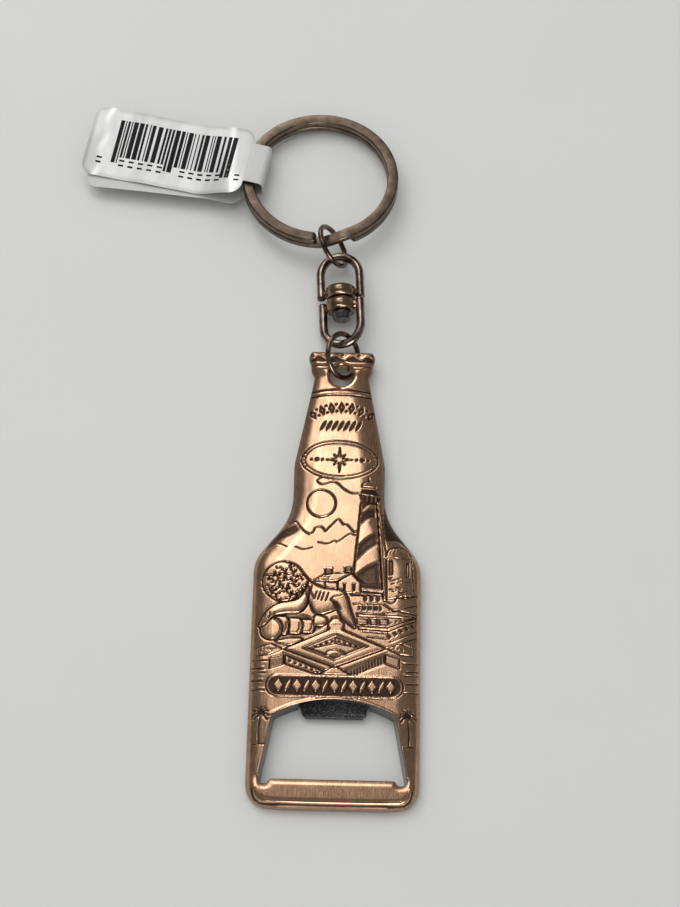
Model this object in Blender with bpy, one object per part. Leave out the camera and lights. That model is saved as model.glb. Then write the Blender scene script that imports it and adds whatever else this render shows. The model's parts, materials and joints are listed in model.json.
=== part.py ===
"""Souvenir bottle opener on a key ring: a flat cast bottle with a crown-cap window and a steel
insert, then a jump ring, a two-part swivel, a second jump ring, a split ring and a folded tag.

Frame: the back of the bottle lies on z = 0 with its front facing +Z, the crown cap points to +Y,
and the origin is on the back face, in the middle of the body's solid part.  Lengths are in
millimetres and are turned into metres only when a mesh or a location is made.
"""
import bmesh
import bpy
from math import acos, asin, atan2, ceil, cos, pi, radians, sin, sqrt, tan
from mathutils import Matrix, Vector

MM = 0.001                        # metres in a millimetre

# Bottle casting
BOTTLE_BOTTOM = -33.7
BOTTLE_TOP = 56.3
BODY_HALF = 15.85                 # half the width of the body
NECK_ROOT_HALF = 8.75             # where the neck meets the shoulder
NECK_WAIST_HALF = 8.8             # where the taper of the neck starts
NECK_TOP_HALF = 5.3
LIP_HALF = 6.0
CAP_HALF = 6.6
SHOULDER_LOW = 13.0
SHOULDER_HIGH = 21.9
WAIST_Y = 32.4
NECK_TOP_Y = 50.8
LIP_LOW = 52.3
LIP_HIGH = 53.4
CAP_WIDEST = 55.1
BASE_CORNER = 4.2                 # plan radius at the two bottom corners
BASE_FLAT_HALF = 9.0              # the bottom edge bows up from here to the corners
BASE_BOW = 0.5
EDGE_Z = 1.3                      # height of the straight side wall
CROWN_Z = 4.2                     # height of the domed front on the body
NECK_CROWN_Z = 3.0                # and at the top of the neck
BACK_ROUND = 0.5
DOME_REACH = 4.6                  # how far in from the side the dome keeps rising
END_REACH = 2.4                   # the same at the bottom end
CAP_END_REACH = 1.0               # the same at the crown cap's end
STATION_STEP = 4.0                # longest stretch between two cross-sections
HOLE_Y = 50.95
HOLE_RADIUS = 2.35
HOLE_CHAMFER = 0.45               # the hole's rim opens out this much at both faces

# Crown-cap window
SILL_Y = -28.5
SILL_HALF = 11.2
NOTCH_Y = -29.4
NOTCH_INNER = 11.9
WINDOW_FOOT_HALF = 13.7
WINDOW_HEAD_HALF = 11.3
WINDOW_HEAD_Y = -16.8
ARCH_TOP_Y = -13.8
WINDOW_DRAFT = radians(7)

# Steel insert, held in a pocket in the back by two cast studs
INSERT_HALF = 6.4
INSERT_TIP_HALF = 5.9
INSERT_BEVEL = 0.7                # cut off the lip's two corners
INSERT_TIP_Y = -16.9
INSERT_HEAD_Y = -8.6
INSERT_LOW = 0.35
INSERT_HIGH = 2.3
INSERT_TIP_HIGH = 1.7
SLOT_GAP = 0.25                   # room round the insert in its pocket
STUD_RADIUS = 1.0
STUD_X = 3.6
STUD_Y = -10.8
STUD_GAP = 0.2

# Links
JUMP_RADIUS = 4.4                 # centre line of both jump rings
JUMP_WIRE = 0.55
LOWER_JUMP_AT = Vector((0.18, 55.54, 1.87))
LOWER_JUMP_UP = Vector((-0.057, 0.961, 0.271))
LOWER_JUMP_SIDE = Vector((0.679, 0.237, -0.695))
UPPER_JUMP_AT = Vector((-2.36, 79.12, 2.94))
UPPER_JUMP_UP = Vector((-0.478, 0.802, 0.357))
UPPER_JUMP_SIDE = Vector((0.344, 0.545, -0.764))

# Swivel
SWIVEL_AT = Vector((-0.5, 67.65, 1.9))
SWIVEL_LEAN = radians(3.5)
LOWER_ROLL = radians(-20)
UPPER_ROLL = radians(-6)
COLLAR_RADIUS = 3.0
COLLAR_LENGTH = 2.5
COLLAR_GAP = 0.35
COLLAR_BORE = 1.05
BAIL_WIRE = 0.86
BAIL_HALF = COLLAR_RADIUS + BAIL_WIRE + 0.08
BAIL_LEG = 4.9
BAIL_ARCH = 4.2
PIN_RADIUS = 0.95
PIN_HEAD_RADIUS = 1.9
PIN_HEAD_LENGTH = 1.6
PIN_SEAT_GAP = 0.12

# Split ring
SPLIT_AT = Vector((-5.35, 95.0, 1.35))
SPLIT_TILT = radians(-7.5)
SPLIT_OUTER = 16.0
SPLIT_BAND = 2.2
COIL_THICK = 1.45
COIL_GAP = 0.12
SPLIT_START = 268.0               # degrees, where the upper coil begins
SPLIT_JOG = 26.0                  # degrees over which the upper coil steps down
COIL_CORNER = 0.25

# Folded tag: u runs outwards from the middle of the ring's band, v across, w through the film
TAG_ANGLE = radians(170.1)        # where the tag sits round the split ring
TAG_TURN = radians(-0.3)          # turned from the ring's radius
TAG_DROOP = radians(-1)
TAG_ROLL = radians(-8.5)          # the panel's twist about u; the sleeve has none
TAG_NEAR = 0.4
TAG_FAR = TAG_NEAR + 33.9
TAG_HALF = 8.0
TAG_CORNER = 2.4
TAG_THICK = 0.5
SLEEVE_HALF = 4.8                 # half the width of the narrow sleeve
SLEEVE_FOLD = -3.7
SLEEVE_TALL = 2.2                 # half the height of the sleeve
SLEEVE_WALL = 0.35
SLEEVE_CLOSED = 9.5               # where its two layers meet

COPPER = (0.62, 0.30, 0.17)
BRONZE = (0.17, 0.10, 0.07)
BRASSY = (0.28, 0.17, 0.09)
STEEL = (0.08, 0.08, 0.085)
FILM = (0.86, 0.87, 0.88)


def clear_scene():
    for item in list(bpy.data.objects):
        bpy.data.objects.remove(item, do_unlink=True)


def material(name, colour, roughness, metallic):
    made = bpy.data.materials.new(name)
    made.use_nodes = True
    shader = made.node_tree.nodes["Principled BSDF"]
    shader.inputs["Base Color"].default_value = (*colour, 1.0)
    shader.inputs["Roughness"].default_value = roughness
    shader.inputs["Metallic"].default_value = metallic
    return made


def add_object(name, bm, finish, at=Vector((0, 0, 0)), smooth_angle=35):
    """An object named name from a bmesh in millimetres, with its origin moved to at."""
    bmesh.ops.translate(bm, verts=bm.verts, vec=-at)
    bmesh.ops.scale(bm, verts=bm.verts, vec=(MM, MM, MM))
    bmesh.ops.recalc_face_normals(bm, faces=bm.faces)
    mesh = bpy.data.meshes.new(name)
    bm.to_mesh(mesh)
    bm.free()
    mesh.materials.append(finish)
    mesh.shade_smooth()
    mesh.set_sharp_from_angle(angle=radians(smooth_angle))
    made = bpy.data.objects.new(name, mesh)
    made.location = at * MM
    bpy.context.scene.collection.objects.link(made)
    return made


def cut(target, name, bm, operation="DIFFERENCE"):
    """Take the closed shape in bm away from target, or keep only what lies inside it."""
    cutter = add_object(name, bm, target.data.materials[0])
    cutter.hide_render = True
    cutter.display_type = "WIRE"
    step = target.modifiers.new(name, "BOOLEAN")
    step.operation = operation
    step.solver = "EXACT"
    step.object = cutter
    return cutter


def loft(rings, closed=False):
    """A bmesh whose skin joins rings of points; the ends are capped unless closed."""
    bm = bmesh.new()
    loops = [[bm.verts.new(p) for p in ring] for ring in rings]
    pairs = list(zip(loops, loops[1:]))
    if closed:
        pairs.append((loops[-1], loops[0]))
    for one, two in pairs:
        for i in range(len(one)):
            j = (i + 1) % len(one)
            bm.faces.new((one[i], one[j], two[j], two[i]))
    if not closed:
        bm.faces.new(reversed(loops[0]))
        bm.faces.new(loops[-1])
    return bm


def arc_corner(before, corner, after, radius, steps):
    """Points of the arc that rounds a corner with the given radius."""
    if radius == 0:
        return [corner]
    one = (before - corner).normalized()
    two = (after - corner).normalized()
    half = acos(max(-1.0, min(1.0, one.dot(two)))) / 2
    middle = corner + (one + two).normalized() * (radius / sin(half))
    reach = radius / tan(half)
    first = corner + one * reach - middle
    last = corner + two * reach - middle
    turn = atan2(first.x * last.y - first.y * last.x, first.dot(last))
    return [middle + Matrix.Rotation(turn * i / steps, 2) @ first for i in range(steps + 1)]


def rounded(corners, closed=True, steps=5):
    """A smooth outline from (x, y, radius) corners."""
    flat = [Vector((x, y)) for x, y, _ in corners]
    points = []
    for i, (_, _, radius) in enumerate(corners):
        if not closed and i in (0, len(corners) - 1):
            points.append(flat[i])
            continue
        after = flat[(i + 1) % len(flat)]
        points += arc_corner(flat[i - 1], flat[i], after, radius, steps)
    return points


def prism(outline, low, high, low_outline=None):
    """A bmesh between the same outline at two heights."""
    bottom = [Vector((p.x, p.y, low)) for p in low_outline or outline]
    top = [Vector((p.x, p.y, high)) for p in outline]
    return loft([bottom, top])


def revolve(profile, at, axis, side, segments=32):
    """Turn (radius, distance along the axis) points, a closed outline, about an axis."""
    other = axis.cross(side)
    rings = []
    for i in range(segments):
        turn = 2 * pi * i / segments
        out = side * cos(turn) + other * sin(turn)
        rings.append([at + out * r + axis * h for r, h in profile])
    return loft(rings, closed=True)


def tube(path, radii, closed=False, sides=10):
    """A round bar along path; radii is its radius at each point."""
    count = len(path)
    rings = []
    normal = None
    for i, point in enumerate(path):
        ahead = path[(i + 1) % count] if closed or i < count - 1 else point
        behind = path[i - 1] if closed or i > 0 else point
        along = (ahead - behind).normalized()
        if normal is None:
            normal = along.orthogonal().normalized()
        normal = (normal - along * normal.dot(along)).normalized()
        other = along.cross(normal)
        rings.append(circle(point, normal, other, radii[i], sides))
    return loft(rings, closed)


def circle(at, side, other, radius, count):
    """Points on a circle in the plane of two unit vectors."""
    turns = [2 * pi * i / count for i in range(count)]
    return [at + (side * cos(a) + other * sin(a)) * radius for a in turns]


def side_outline():
    """The right-hand side of the bottle from its base to the crown cap, as (x, y) points."""
    return rounded([
        (BASE_FLAT_HALF, BOTTLE_BOTTOM, 0),
        (BODY_HALF, BOTTLE_BOTTOM + BASE_BOW, BASE_CORNER),
        (BODY_HALF, SHOULDER_LOW, 7.0),
        (NECK_ROOT_HALF, SHOULDER_HIGH, 12.0),
        (NECK_WAIST_HALF, WAIST_Y, 10.0),
        (NECK_TOP_HALF, NECK_TOP_Y, 0.8),
        (LIP_HALF, LIP_LOW, 0.4),
        (LIP_HALF + 0.1, LIP_HIGH, 0.4),
        (CAP_HALF, CAP_WIDEST, 0.7),
        (CAP_HALF - 0.5, BOTTLE_TOP, 0),
    ], closed=False, steps=6)


def rise(distance, reach):
    """Share of the dome's height at a distance in from an edge: a quarter round, then flat."""
    inward = min(1.0, max(0.0, distance / reach))
    return sqrt(1 - (1 - inward) ** 2)


def bottle_section(half, y):
    """One closed cross-section of the bottle at y, with its flat back on z = 0."""
    end = rise(y - BOTTLE_BOTTOM + 0.25, END_REACH)
    top_end = rise(BOTTLE_TOP - y + 0.25, CAP_END_REACH)
    up_the_neck = min(1.0, max(0.0, (y - WAIST_Y) / (NECK_TOP_Y - WAIST_Y)))
    highest = CROWN_Z + (NECK_CROWN_Z - CROWN_Z) * up_the_neck
    crown = EDGE_Z + (highest - EDGE_Z) * min(end, top_end)
    reach = min(DOME_REACH, 0.8 * half)
    count = 14
    front = []
    for i in range(count + 1):
        x = half * sin(pi / 2 * (2 * i / count - 1))
        front.append((x, EDGE_Z + (crown - EDGE_Z) * rise(half - abs(x), reach)))
    flat = half - BACK_ROUND
    back = [(half, BACK_ROUND), (flat, 0.0), (-flat, 0.0), (-half, BACK_ROUND)]
    return [Vector((x, y, z)) for x, z in front + back]


def window_outline(grow):
    """The crown-cap window's outline, moved outwards by grow."""
    sagitta = ARCH_TOP_Y - WINDOW_HEAD_Y
    radius = (WINDOW_HEAD_HALF ** 2 + sagitta ** 2) / (2 * sagitta)
    centre_y = ARCH_TOP_Y - radius
    span = asin(WINDOW_HEAD_HALF / radius)
    right = [
        (SILL_HALF, SILL_Y - grow, 0.3),
        (NOTCH_INNER, NOTCH_Y - grow, 0.3),
        (WINDOW_FOOT_HALF + grow, NOTCH_Y - grow, 0.8),
        (WINDOW_HEAD_HALF + grow, WINDOW_HEAD_Y + grow, 0.9),
    ]
    arch = []
    for i in range(-5, 6):
        turn = -span * 0.86 * i / 5
        arch.append((radius * sin(turn), centre_y + (radius + grow) * cos(turn), 0))
    left = [(-x, y, r) for x, y, r in reversed(right)]
    return rounded(right + arch + left, steps=4)


def make_bottle(finish):
    side = side_outline()
    stations = [side[0]]
    for one, two in zip(side, side[1:]):
        pieces = max(1, ceil((two.y - one.y) / STATION_STEP))
        for i in range(1, pieces + 1):
            spot = one.lerp(two, i / pieces)
            if spot.y - stations[-1].y > 0.02:
                stations.append(spot)
    body = add_object("bottle_body", loft([bottle_section(p.x, p.y) for p in stations]), finish)
    grow = (CROWN_Z + 1) * tan(WINDOW_DRAFT)
    cut(body, "window_cutter", prism(window_outline(grow), -1.0, CROWN_Z + 1, window_outline(0)))
    wide = HOLE_RADIUS + HOLE_CHAMFER
    hole = [(wide, -1), (wide, 0), (HOLE_RADIUS, HOLE_CHAMFER),
            (HOLE_RADIUS, NECK_CROWN_Z - HOLE_CHAMFER), (wide, NECK_CROWN_Z), (wide, CROWN_Z)]
    cut(body, "hole_cutter", upright(hole, Vector((0, HOLE_Y, 0)), 28))
    pocket_cutter(body)


def upright(profile, at, segments):
    """A solid turned about an upright axis from (radius, z) points, lowest first."""
    across = Vector((1, 0, 0))
    along = Vector((0, 1, 0))
    return loft([circle(at + Vector((0, 0, h)), across, along, r, segments) for r, h in profile])


def pocket_cutter(body):
    """The insert's pocket, open at the back and in the window, with two studs left standing."""
    wide = INSERT_HALF + SLOT_GAP
    top = INSERT_HIGH + SLOT_GAP
    high = INSERT_HEAD_Y + SLOT_GAP
    low = WINDOW_HEAD_Y - 2.0
    outline = rounded([(wide, low, 0), (wide, high, 0.3), (-wide, high, 0.3), (-wide, low, 0)])
    pocket = cut(body, "pocket_cutter", prism(outline, -1.0, top))
    for side in (-1, 1):
        stud = [(STUD_RADIUS, INSERT_LOW), (STUD_RADIUS, top + 1)]
        shape = upright(stud, Vector((side * STUD_X, STUD_Y, 0)), 20)
        cut(pocket, f"stud_guide_{side}", shape)


def make_insert(finish):
    """A steel plate whose lip hangs into the window; the lip's front slopes back to its tip."""
    slope_start = ARCH_TOP_Y - 0.6
    bevel_y = INSERT_TIP_Y + INSERT_BEVEL
    rings = []
    for half, y in (
        (INSERT_HALF, INSERT_HEAD_Y), (INSERT_HALF, slope_start),
        (INSERT_TIP_HALF, bevel_y), (INSERT_TIP_HALF - INSERT_BEVEL, INSERT_TIP_Y),
    ):
        share = max(0.0, (slope_start - y) / (slope_start - INSERT_TIP_Y))
        high = INSERT_HIGH + (INSERT_TIP_HIGH - INSERT_HIGH) * share
        corners = ((-half, INSERT_LOW), (half, INSERT_LOW), (half, high), (-half, high))
        rings.append([Vector((x, y, z)) for x, z in corners])
    insert = add_object("opener_insert", loft(rings), finish)
    for side in (-1, 1):
        radius = STUD_RADIUS + STUD_GAP
        hole = [(radius, -1), (radius, INSERT_HIGH + 1)]
        shape = upright(hole, Vector((side * STUD_X, STUD_Y, 0)), 20)
        cut(insert, f"stud_hole_cutter_{side}", shape)


def make_jump_ring(name, finish, at, up, side):
    path = []
    steps = 36
    for i in range(steps):
        turn = 2 * pi * i / steps
        path.append(at + (up * cos(turn) + side * sin(turn)) * JUMP_RADIUS)
    add_object(name, tube(path, [JUMP_WIRE] * steps, closed=True), finish, at)


def swivel_axis():
    return Vector((-sin(SWIVEL_LEAN), cos(SWIVEL_LEAN), 0))


def make_bail(name, finish, roll, direction):
    """A U of round wire; direction is 1 for the upper half and -1 for the lower one."""
    axis = swivel_axis()
    side = Matrix.Rotation(roll, 3, axis) @ axis.cross(Vector((0, 0, 1)))
    near = COLLAR_GAP / 2 + 0.1
    legs = 5
    flat = [(BAIL_HALF, near + BAIL_LEG * i / legs) for i in range(legs)]
    arch = 14
    for i in range(arch + 1):
        turn = pi * i / arch
        flat.append((BAIL_HALF * cos(turn), near + BAIL_LEG + BAIL_ARCH * sin(turn)))
    flat += [(-BAIL_HALF, near + BAIL_LEG * i / legs) for i in reversed(range(legs))]
    tip = 0.25
    flat = [(BAIL_HALF, near - tip)] + flat + [(-BAIL_HALF, near - tip)]
    radii = [BAIL_WIRE * 0.62] + [BAIL_WIRE] * (len(flat) - 2) + [BAIL_WIRE * 0.62]
    path = [SWIVEL_AT + side * p + axis * (direction * (q + tip)) for p, q in flat]
    add_object(name, tube(path, radii), finish, SWIVEL_AT)


def make_collar(name, finish, direction):
    """A thick washer with a rolled bead round its outer end."""
    axis = swivel_axis() * direction
    low = COLLAR_GAP / 2
    high = low + COLLAR_LENGTH
    profile = [
        (COLLAR_BORE, low), (COLLAR_RADIUS - 0.3, low), (COLLAR_RADIUS, low + 0.3),
        (COLLAR_RADIUS, high - 0.3), (COLLAR_RADIUS - 0.3, high), (COLLAR_BORE, high),
    ]
    side = axis.cross(Vector((0, 0, 1)))
    add_object(name, revolve(profile, SWIVEL_AT, axis, side), finish, SWIVEL_AT)


def make_pin(finish):
    """The swivel's pin: its tail sits in the upper collar, its head under the lower one."""
    axis = swivel_axis()
    reach = COLLAR_GAP / 2 + COLLAR_LENGTH
    head_top = -reach - PIN_SEAT_GAP
    head_end = head_top - PIN_HEAD_LENGTH
    rows = [
        (PIN_HEAD_RADIUS - 0.4, head_end), (PIN_HEAD_RADIUS, head_end + 0.4),
        (PIN_HEAD_RADIUS, head_top), (PIN_RADIUS, head_top), (PIN_RADIUS, reach - 0.2),
    ]
    side = axis.cross(Vector((0, 0, 1)))
    other = axis.cross(side)
    rings = [circle(SWIVEL_AT + axis * along, side, other, radius, 24) for radius, along in rows]
    add_object("swivel_pin", loft(rings), finish, SWIVEL_AT)


def make_split_ring(finish):
    """One flat strip wound twice: the upper coil steps down over the jog into the lower coil."""
    tilt = Matrix.Rotation(SPLIT_TILT, 3, "X")
    lift = (COIL_THICK + COIL_GAP) / 2
    middle = SPLIT_OUTER - SPLIT_BAND / 2
    wide = SPLIT_BAND / 2
    tall = COIL_THICK / 2
    corner = COIL_CORNER
    section = [
        (wide, -tall + corner), (wide, tall - corner), (wide - corner, tall), (-wide + corner, tall),
        (-wide, tall - corner), (-wide, -tall + corner), (-wide + corner, -tall), (wide - corner, -tall),
    ]
    first_turn = 360 - SPLIT_JOG
    end_gap = 1.5
    total = 2 * first_turn + SPLIT_JOG - end_gap
    steps = 150
    rings = []
    for i in range(steps + 1):
        travel = total * i / steps
        share = min(1.0, max(0.0, (travel - first_turn) / SPLIT_JOG))
        drop = (1 - cos(pi * share)) / 2
        height = lift * (1 - 2 * drop)
        turn = radians(SPLIT_START - travel)
        out = Vector((cos(turn), sin(turn), 0))
        ring = [out * (middle + r) + Vector((0, 0, height + h)) for r, h in section]
        rings.append([SPLIT_AT + tilt @ p for p in ring])
    add_object("split_ring", loft(rings), finish, SPLIT_AT)


def tag_place(u, v, w):
    """A point of the tag in its own (u, v, w), in the part's frame."""
    tilt = Matrix.Rotation(SPLIT_TILT, 3, "X")
    band = Vector((SPLIT_OUTER - SPLIT_BAND / 2, 0, 0))
    share = min(1.0, max(0.0, (u - TAG_NEAR) / (SLEEVE_CLOSED - TAG_NEAR)))
    rolled = Matrix.Rotation(TAG_ROLL * share, 3, "X") @ Vector((u, v, w))
    droop = Matrix.Rotation(TAG_DROOP, 3, "Y")
    turned = Matrix.Rotation(TAG_TURN, 3, "Z") @ (droop @ rolled)
    return SPLIT_AT + tilt @ (Matrix.Rotation(TAG_ANGLE, 3, "Z") @ (band + turned))


def across(outline, half):
    """A bmesh that carries a (u, w) outline across the tag from -half to half."""
    return loft([[tag_place(p.x, v, p.y) for p in outline] for v in (-half, half)])


def make_tag(finish):
    """A film tag folded round the ring: a narrow sleeve, then two layers that meet in a panel."""
    thick = TAG_THICK / 2
    tall = SLEEVE_TALL
    fold = SLEEVE_FOLD
    closed = SLEEVE_CLOSED
    outer = rounded([(fold, -tall, 1.2), (TAG_NEAR, -tall, 1.5), (closed, -thick, 9.0),
                     (TAG_FAR + 1, -thick, 0), (TAG_FAR + 1, thick, 0), (closed, thick, 9.0),
                     (TAG_NEAR, tall, 1.5), (fold, tall, 1.2)])
    wall = SLEEVE_WALL
    inner = rounded([(fold + wall, wall - tall, 0.85), (TAG_NEAR, wall - tall, 1.5),
                     (closed - 2.0, 0, 0), (TAG_NEAR, tall - wall, 1.5),
                     (fold + wall, tall - wall, 0.85)])
    tag = add_object("price_tag", across(outer, TAG_HALF + 1), finish, SPLIT_AT)
    cut(tag, "sleeve_cutter", across(inner, TAG_HALF + 2))
    plan = rounded([(fold - 1, -SLEEVE_HALF, 0), (TAG_NEAR, -SLEEVE_HALF, 0.3),
                    (TAG_NEAR, -TAG_HALF, TAG_CORNER), (TAG_FAR, -TAG_HALF, TAG_CORNER),
                    (TAG_FAR, TAG_HALF, TAG_CORNER), (TAG_NEAR, TAG_HALF, TAG_CORNER),
                    (TAG_NEAR, SLEEVE_HALF, 0.3), (fold - 1, SLEEVE_HALF, 0)])
    shape = loft([[tag_place(p.x, p.y, w) for p in plan] for w in (-tall - 1, tall + 1)])
    cut(tag, "tag_plan", shape, "INTERSECT")


def build():
    clear_scene()
    copper = material("antique_copper", COPPER, 0.35, 1.0)
    bronze = material("dark_bronze", BRONZE, 0.35, 1.0)
    brassy = material("brassy_bronze", BRASSY, 0.3, 1.0)
    steel = material("black_steel", STEEL, 0.45, 1.0)
    film = material("tag_film", FILM, 0.25, 0.0)
    make_bottle(copper)
    make_insert(steel)
    make_jump_ring("lower_jump_ring", bronze, LOWER_JUMP_AT, LOWER_JUMP_UP, LOWER_JUMP_SIDE)
    make_bail("lower_bail", bronze, LOWER_ROLL, -1)
    make_collar("lower_collar", brassy, -1)
    make_pin(steel)
    make_collar("upper_collar", brassy, 1)
    make_bail("upper_bail", bronze, UPPER_ROLL, 1)
    make_jump_ring("upper_jump_ring", bronze, UPPER_JUMP_AT, UPPER_JUMP_UP, UPPER_JUMP_SIDE)
    make_split_ring(bronze)
    make_tag(film)


build()
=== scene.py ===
"""The looks of the souvenir bottle opener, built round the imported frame.

Lengths are in millimetres, in the frame's own axes: the bottle lies on its back on z = 0, +Y runs
towards the key ring.  They are turned into metres only when a mesh is made.
"""
import json
from math import acos, asin, atan2, cos, pi, radians, sin, sqrt, tan

import bmesh
import bpy
import numpy as np
from mathutils import Matrix, Vector


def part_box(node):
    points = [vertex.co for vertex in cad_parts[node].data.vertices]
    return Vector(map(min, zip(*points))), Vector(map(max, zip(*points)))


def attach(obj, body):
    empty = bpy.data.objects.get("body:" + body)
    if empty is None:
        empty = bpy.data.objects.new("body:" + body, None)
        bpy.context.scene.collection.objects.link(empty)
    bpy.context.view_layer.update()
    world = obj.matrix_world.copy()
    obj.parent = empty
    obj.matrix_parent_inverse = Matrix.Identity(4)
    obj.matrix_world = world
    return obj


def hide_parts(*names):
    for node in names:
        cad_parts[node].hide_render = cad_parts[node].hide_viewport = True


MM = 0.001
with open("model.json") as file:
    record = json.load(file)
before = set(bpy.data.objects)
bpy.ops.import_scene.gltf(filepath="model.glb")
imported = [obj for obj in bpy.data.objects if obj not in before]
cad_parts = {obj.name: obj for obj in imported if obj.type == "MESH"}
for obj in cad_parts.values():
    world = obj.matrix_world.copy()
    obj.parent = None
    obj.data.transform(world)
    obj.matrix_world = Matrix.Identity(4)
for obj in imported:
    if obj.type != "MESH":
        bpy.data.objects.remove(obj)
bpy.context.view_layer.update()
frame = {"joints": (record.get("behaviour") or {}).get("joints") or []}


def box_mm(node):
    low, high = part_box(node)
    return Vector(low) / MM, Vector(high) / MM


def joint_named(name):
    return next(j for j in frame["joints"] if j["name"] == name)


def joint_point(name):
    return Vector(joint_named(name)["pos_m"]) / MM


def joint_axis(name):
    return Vector(joint_named(name)["axis"]).normalized()


# ---------------------------------------------------------------- sizes

BOTTLE_LOW, BOTTLE_HIGH = box_mm("bottle_body")
BODY_HALF = BOTTLE_HIGH.x
BOTTOM_Y = BOTTLE_LOW.y
TOP_Y = BOTTLE_HIGH.y
CROWN_Z = BOTTLE_HIGH.z - 0.25     # room for the relief to stand proud
EDGE_Z = 1.3
NECK_CROWN_Z = 2.85
DOME_REACH = 4.6
RIM = 0.2                          # the fine front mesh stops this far inside every edge
PITCH = 0.13

NECK_ROOT_HALF = 8.75
NECK_WAIST_HALF = 8.8
NECK_TOP_HALF = 5.3
LIP_HALF = 6.0
CAP_HALF = 6.6
SHOULDER_Y = 13.0
WAIST_Y = 32.4
NECK_TOP_Y = 50.8
BASE_FLAT_HALF = 9.0               # the bottom edge bows up from here to the corners
BASE_BOW = 0.5
HOLE_Y = 50.95
HOLE_RADIUS = 2.35

SILL_Y = -28.5
SILL_HALF = 11.2
NOTCH_Y = -29.4
NOTCH_INNER = 11.9
WINDOW_FOOT_HALF = 13.7
WINDOW_HEAD_HALF = 11.3
WINDOW_HEAD_Y = -16.8
ARCH_TOP_Y = -13.8
WALL_LEAN = 0.36                   # how far the window's walls lean into the opening at the back

INSERT_LOW, INSERT_HIGH = box_mm("opener_insert")
POCKET_GAP = 0.25
POCKET_HALF = INSERT_HIGH.x + POCKET_GAP
POCKET_TOP = INSERT_HIGH.z + POCKET_GAP
STUD_X = 3.6
STUD_Y = -10.8
BACK_ROUND = 0.5
HOLE_CHAMFER = 0.45
NECK_ROOT_Y = 21.9

# Links
JUMP_RADIUS = 4.4
JUMP_WIRE = 0.535
LOWER_JUMP_AT = joint_point("lower_link_turn")
LOWER_JUMP_UP = joint_axis("lower_link_turn")
LOWER_JUMP_SIDE = Vector((0.679, 0.237, -0.695))
UPPER_JUMP_AT = sum(box_mm("upper_jump_ring"), Vector()) / 2
UPPER_JUMP_UP = Vector((-0.478, 0.802, 0.357))
UPPER_JUMP_SIDE = Vector((0.344, 0.545, -0.764))

# Swivel
SWIVEL_AT = joint_point("swivel_turn")
SWIVEL_AXIS = joint_axis("swivel_turn")
LOWER_ROLL = radians(-20)
UPPER_ROLL = radians(-6)
COLLAR_RADIUS = 3.0
COLLAR_LENGTH = 2.5
COLLAR_GAP = 0.35
COLLAR_BORE = 1.05
BAIL_WIRE = 0.86
BAIL_HALF = 3.94
BAIL_LEG = 4.9
BAIL_ARCH = 4.2
PIN_RADIUS = 0.95
PIN_HEAD = 1.6
PIN_HEAD_RADIUS = 1.9
PIN_SEAT_GAP = 0.12

# Split ring and tag
RING_AT = joint_point("tag_slide")
RING_AXIS = joint_axis("tag_slide")
RING_OUTER = 16.0
RING_BAND = 2.2
COIL_THICK = 1.45
COIL_GAP = 0.12
COIL_START = 268.0                 # degrees, where the upper coil begins
COIL_JOG = 26.0                    # degrees over which it steps down
TAG_ANGLE = radians(170.1)
TAG_TURN = radians(-0.3)
TAG_DROOP = radians(-1)
TAG_ROLL = radians(-8.5)           # the panel's twist about u; the sleeve has none
TAG_NEAR = 0.4
TAG_FAR = 34.26
TAG_HALF = 7.98
TAG_CORNER = 2.4
SLEEVE_HALF = 4.8
SLEEVE_FOLD = -3.7
SLEEVE_TALL = 2.2
SLEEVE_CLOSED = 9.5                # where the tag's two layers meet
BACK_SHARE = 0.955                 # length of the back layer against the front one

# View
VIEW_AT = Vector((0, 35.6, 0))
VIEW_DISTANCE = 336
VIEW_TILT = radians(20)
VIEW_ROLL = radians(1.36)
VIEW_FOCAL = 1719 / 907            # in picture heights
FILL = 0.34                        # even light on the floor and the tag, not seen in metal


# ---------------------------------------------------------------- outlines

def arc_corner(before, corner, after, radius, steps):
    """Points of the arc that rounds a corner with the given radius."""
    if radius == 0:
        return [corner]
    one = (before - corner).normalized()
    two = (after - corner).normalized()
    half = acos(max(-1.0, min(1.0, one.dot(two)))) / 2
    middle = corner + (one + two).normalized() * (radius / sin(half))
    reach = radius / tan(half)
    first = corner + one * reach - middle
    last = corner + two * reach - middle
    turn = atan2(first.x * last.y - first.y * last.x, first.dot(last))
    return [middle + Matrix.Rotation(turn * i / steps, 2) @ first for i in range(steps + 1)]


def rounded(corners, steps=8):
    """A smooth closed outline from (x, y, radius) corners, as an array of points."""
    flat = [Vector((x, y)) for x, y, _ in corners]
    points = []
    for i, (_, _, radius) in enumerate(corners):
        points += arc_corner(flat[i - 1], flat[i], flat[(i + 1) % len(flat)], radius, steps)
    return np.array([(p.x, p.y) for p in points])


def bottle_outline():
    right = [
        (BASE_FLAT_HALF, BOTTOM_Y, 40.0),
        (BODY_HALF, BOTTOM_Y + BASE_BOW, 4.2),
        (BODY_HALF, SHOULDER_Y, 7.0),
        (NECK_ROOT_HALF, NECK_ROOT_Y, 12.0),
        (NECK_WAIST_HALF, WAIST_Y, 10.0),
        (NECK_TOP_HALF, NECK_TOP_Y, 0.8),
        (LIP_HALF, 52.3, 0.4),
        (LIP_HALF + 0.1, 53.4, 0.4),
        (CAP_HALF, 55.1, 0.7),
        (CAP_HALF - 0.5, TOP_Y, 0.7),
    ]
    return rounded(right + [(-x, y, r) for x, y, r in reversed(right)])


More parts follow.
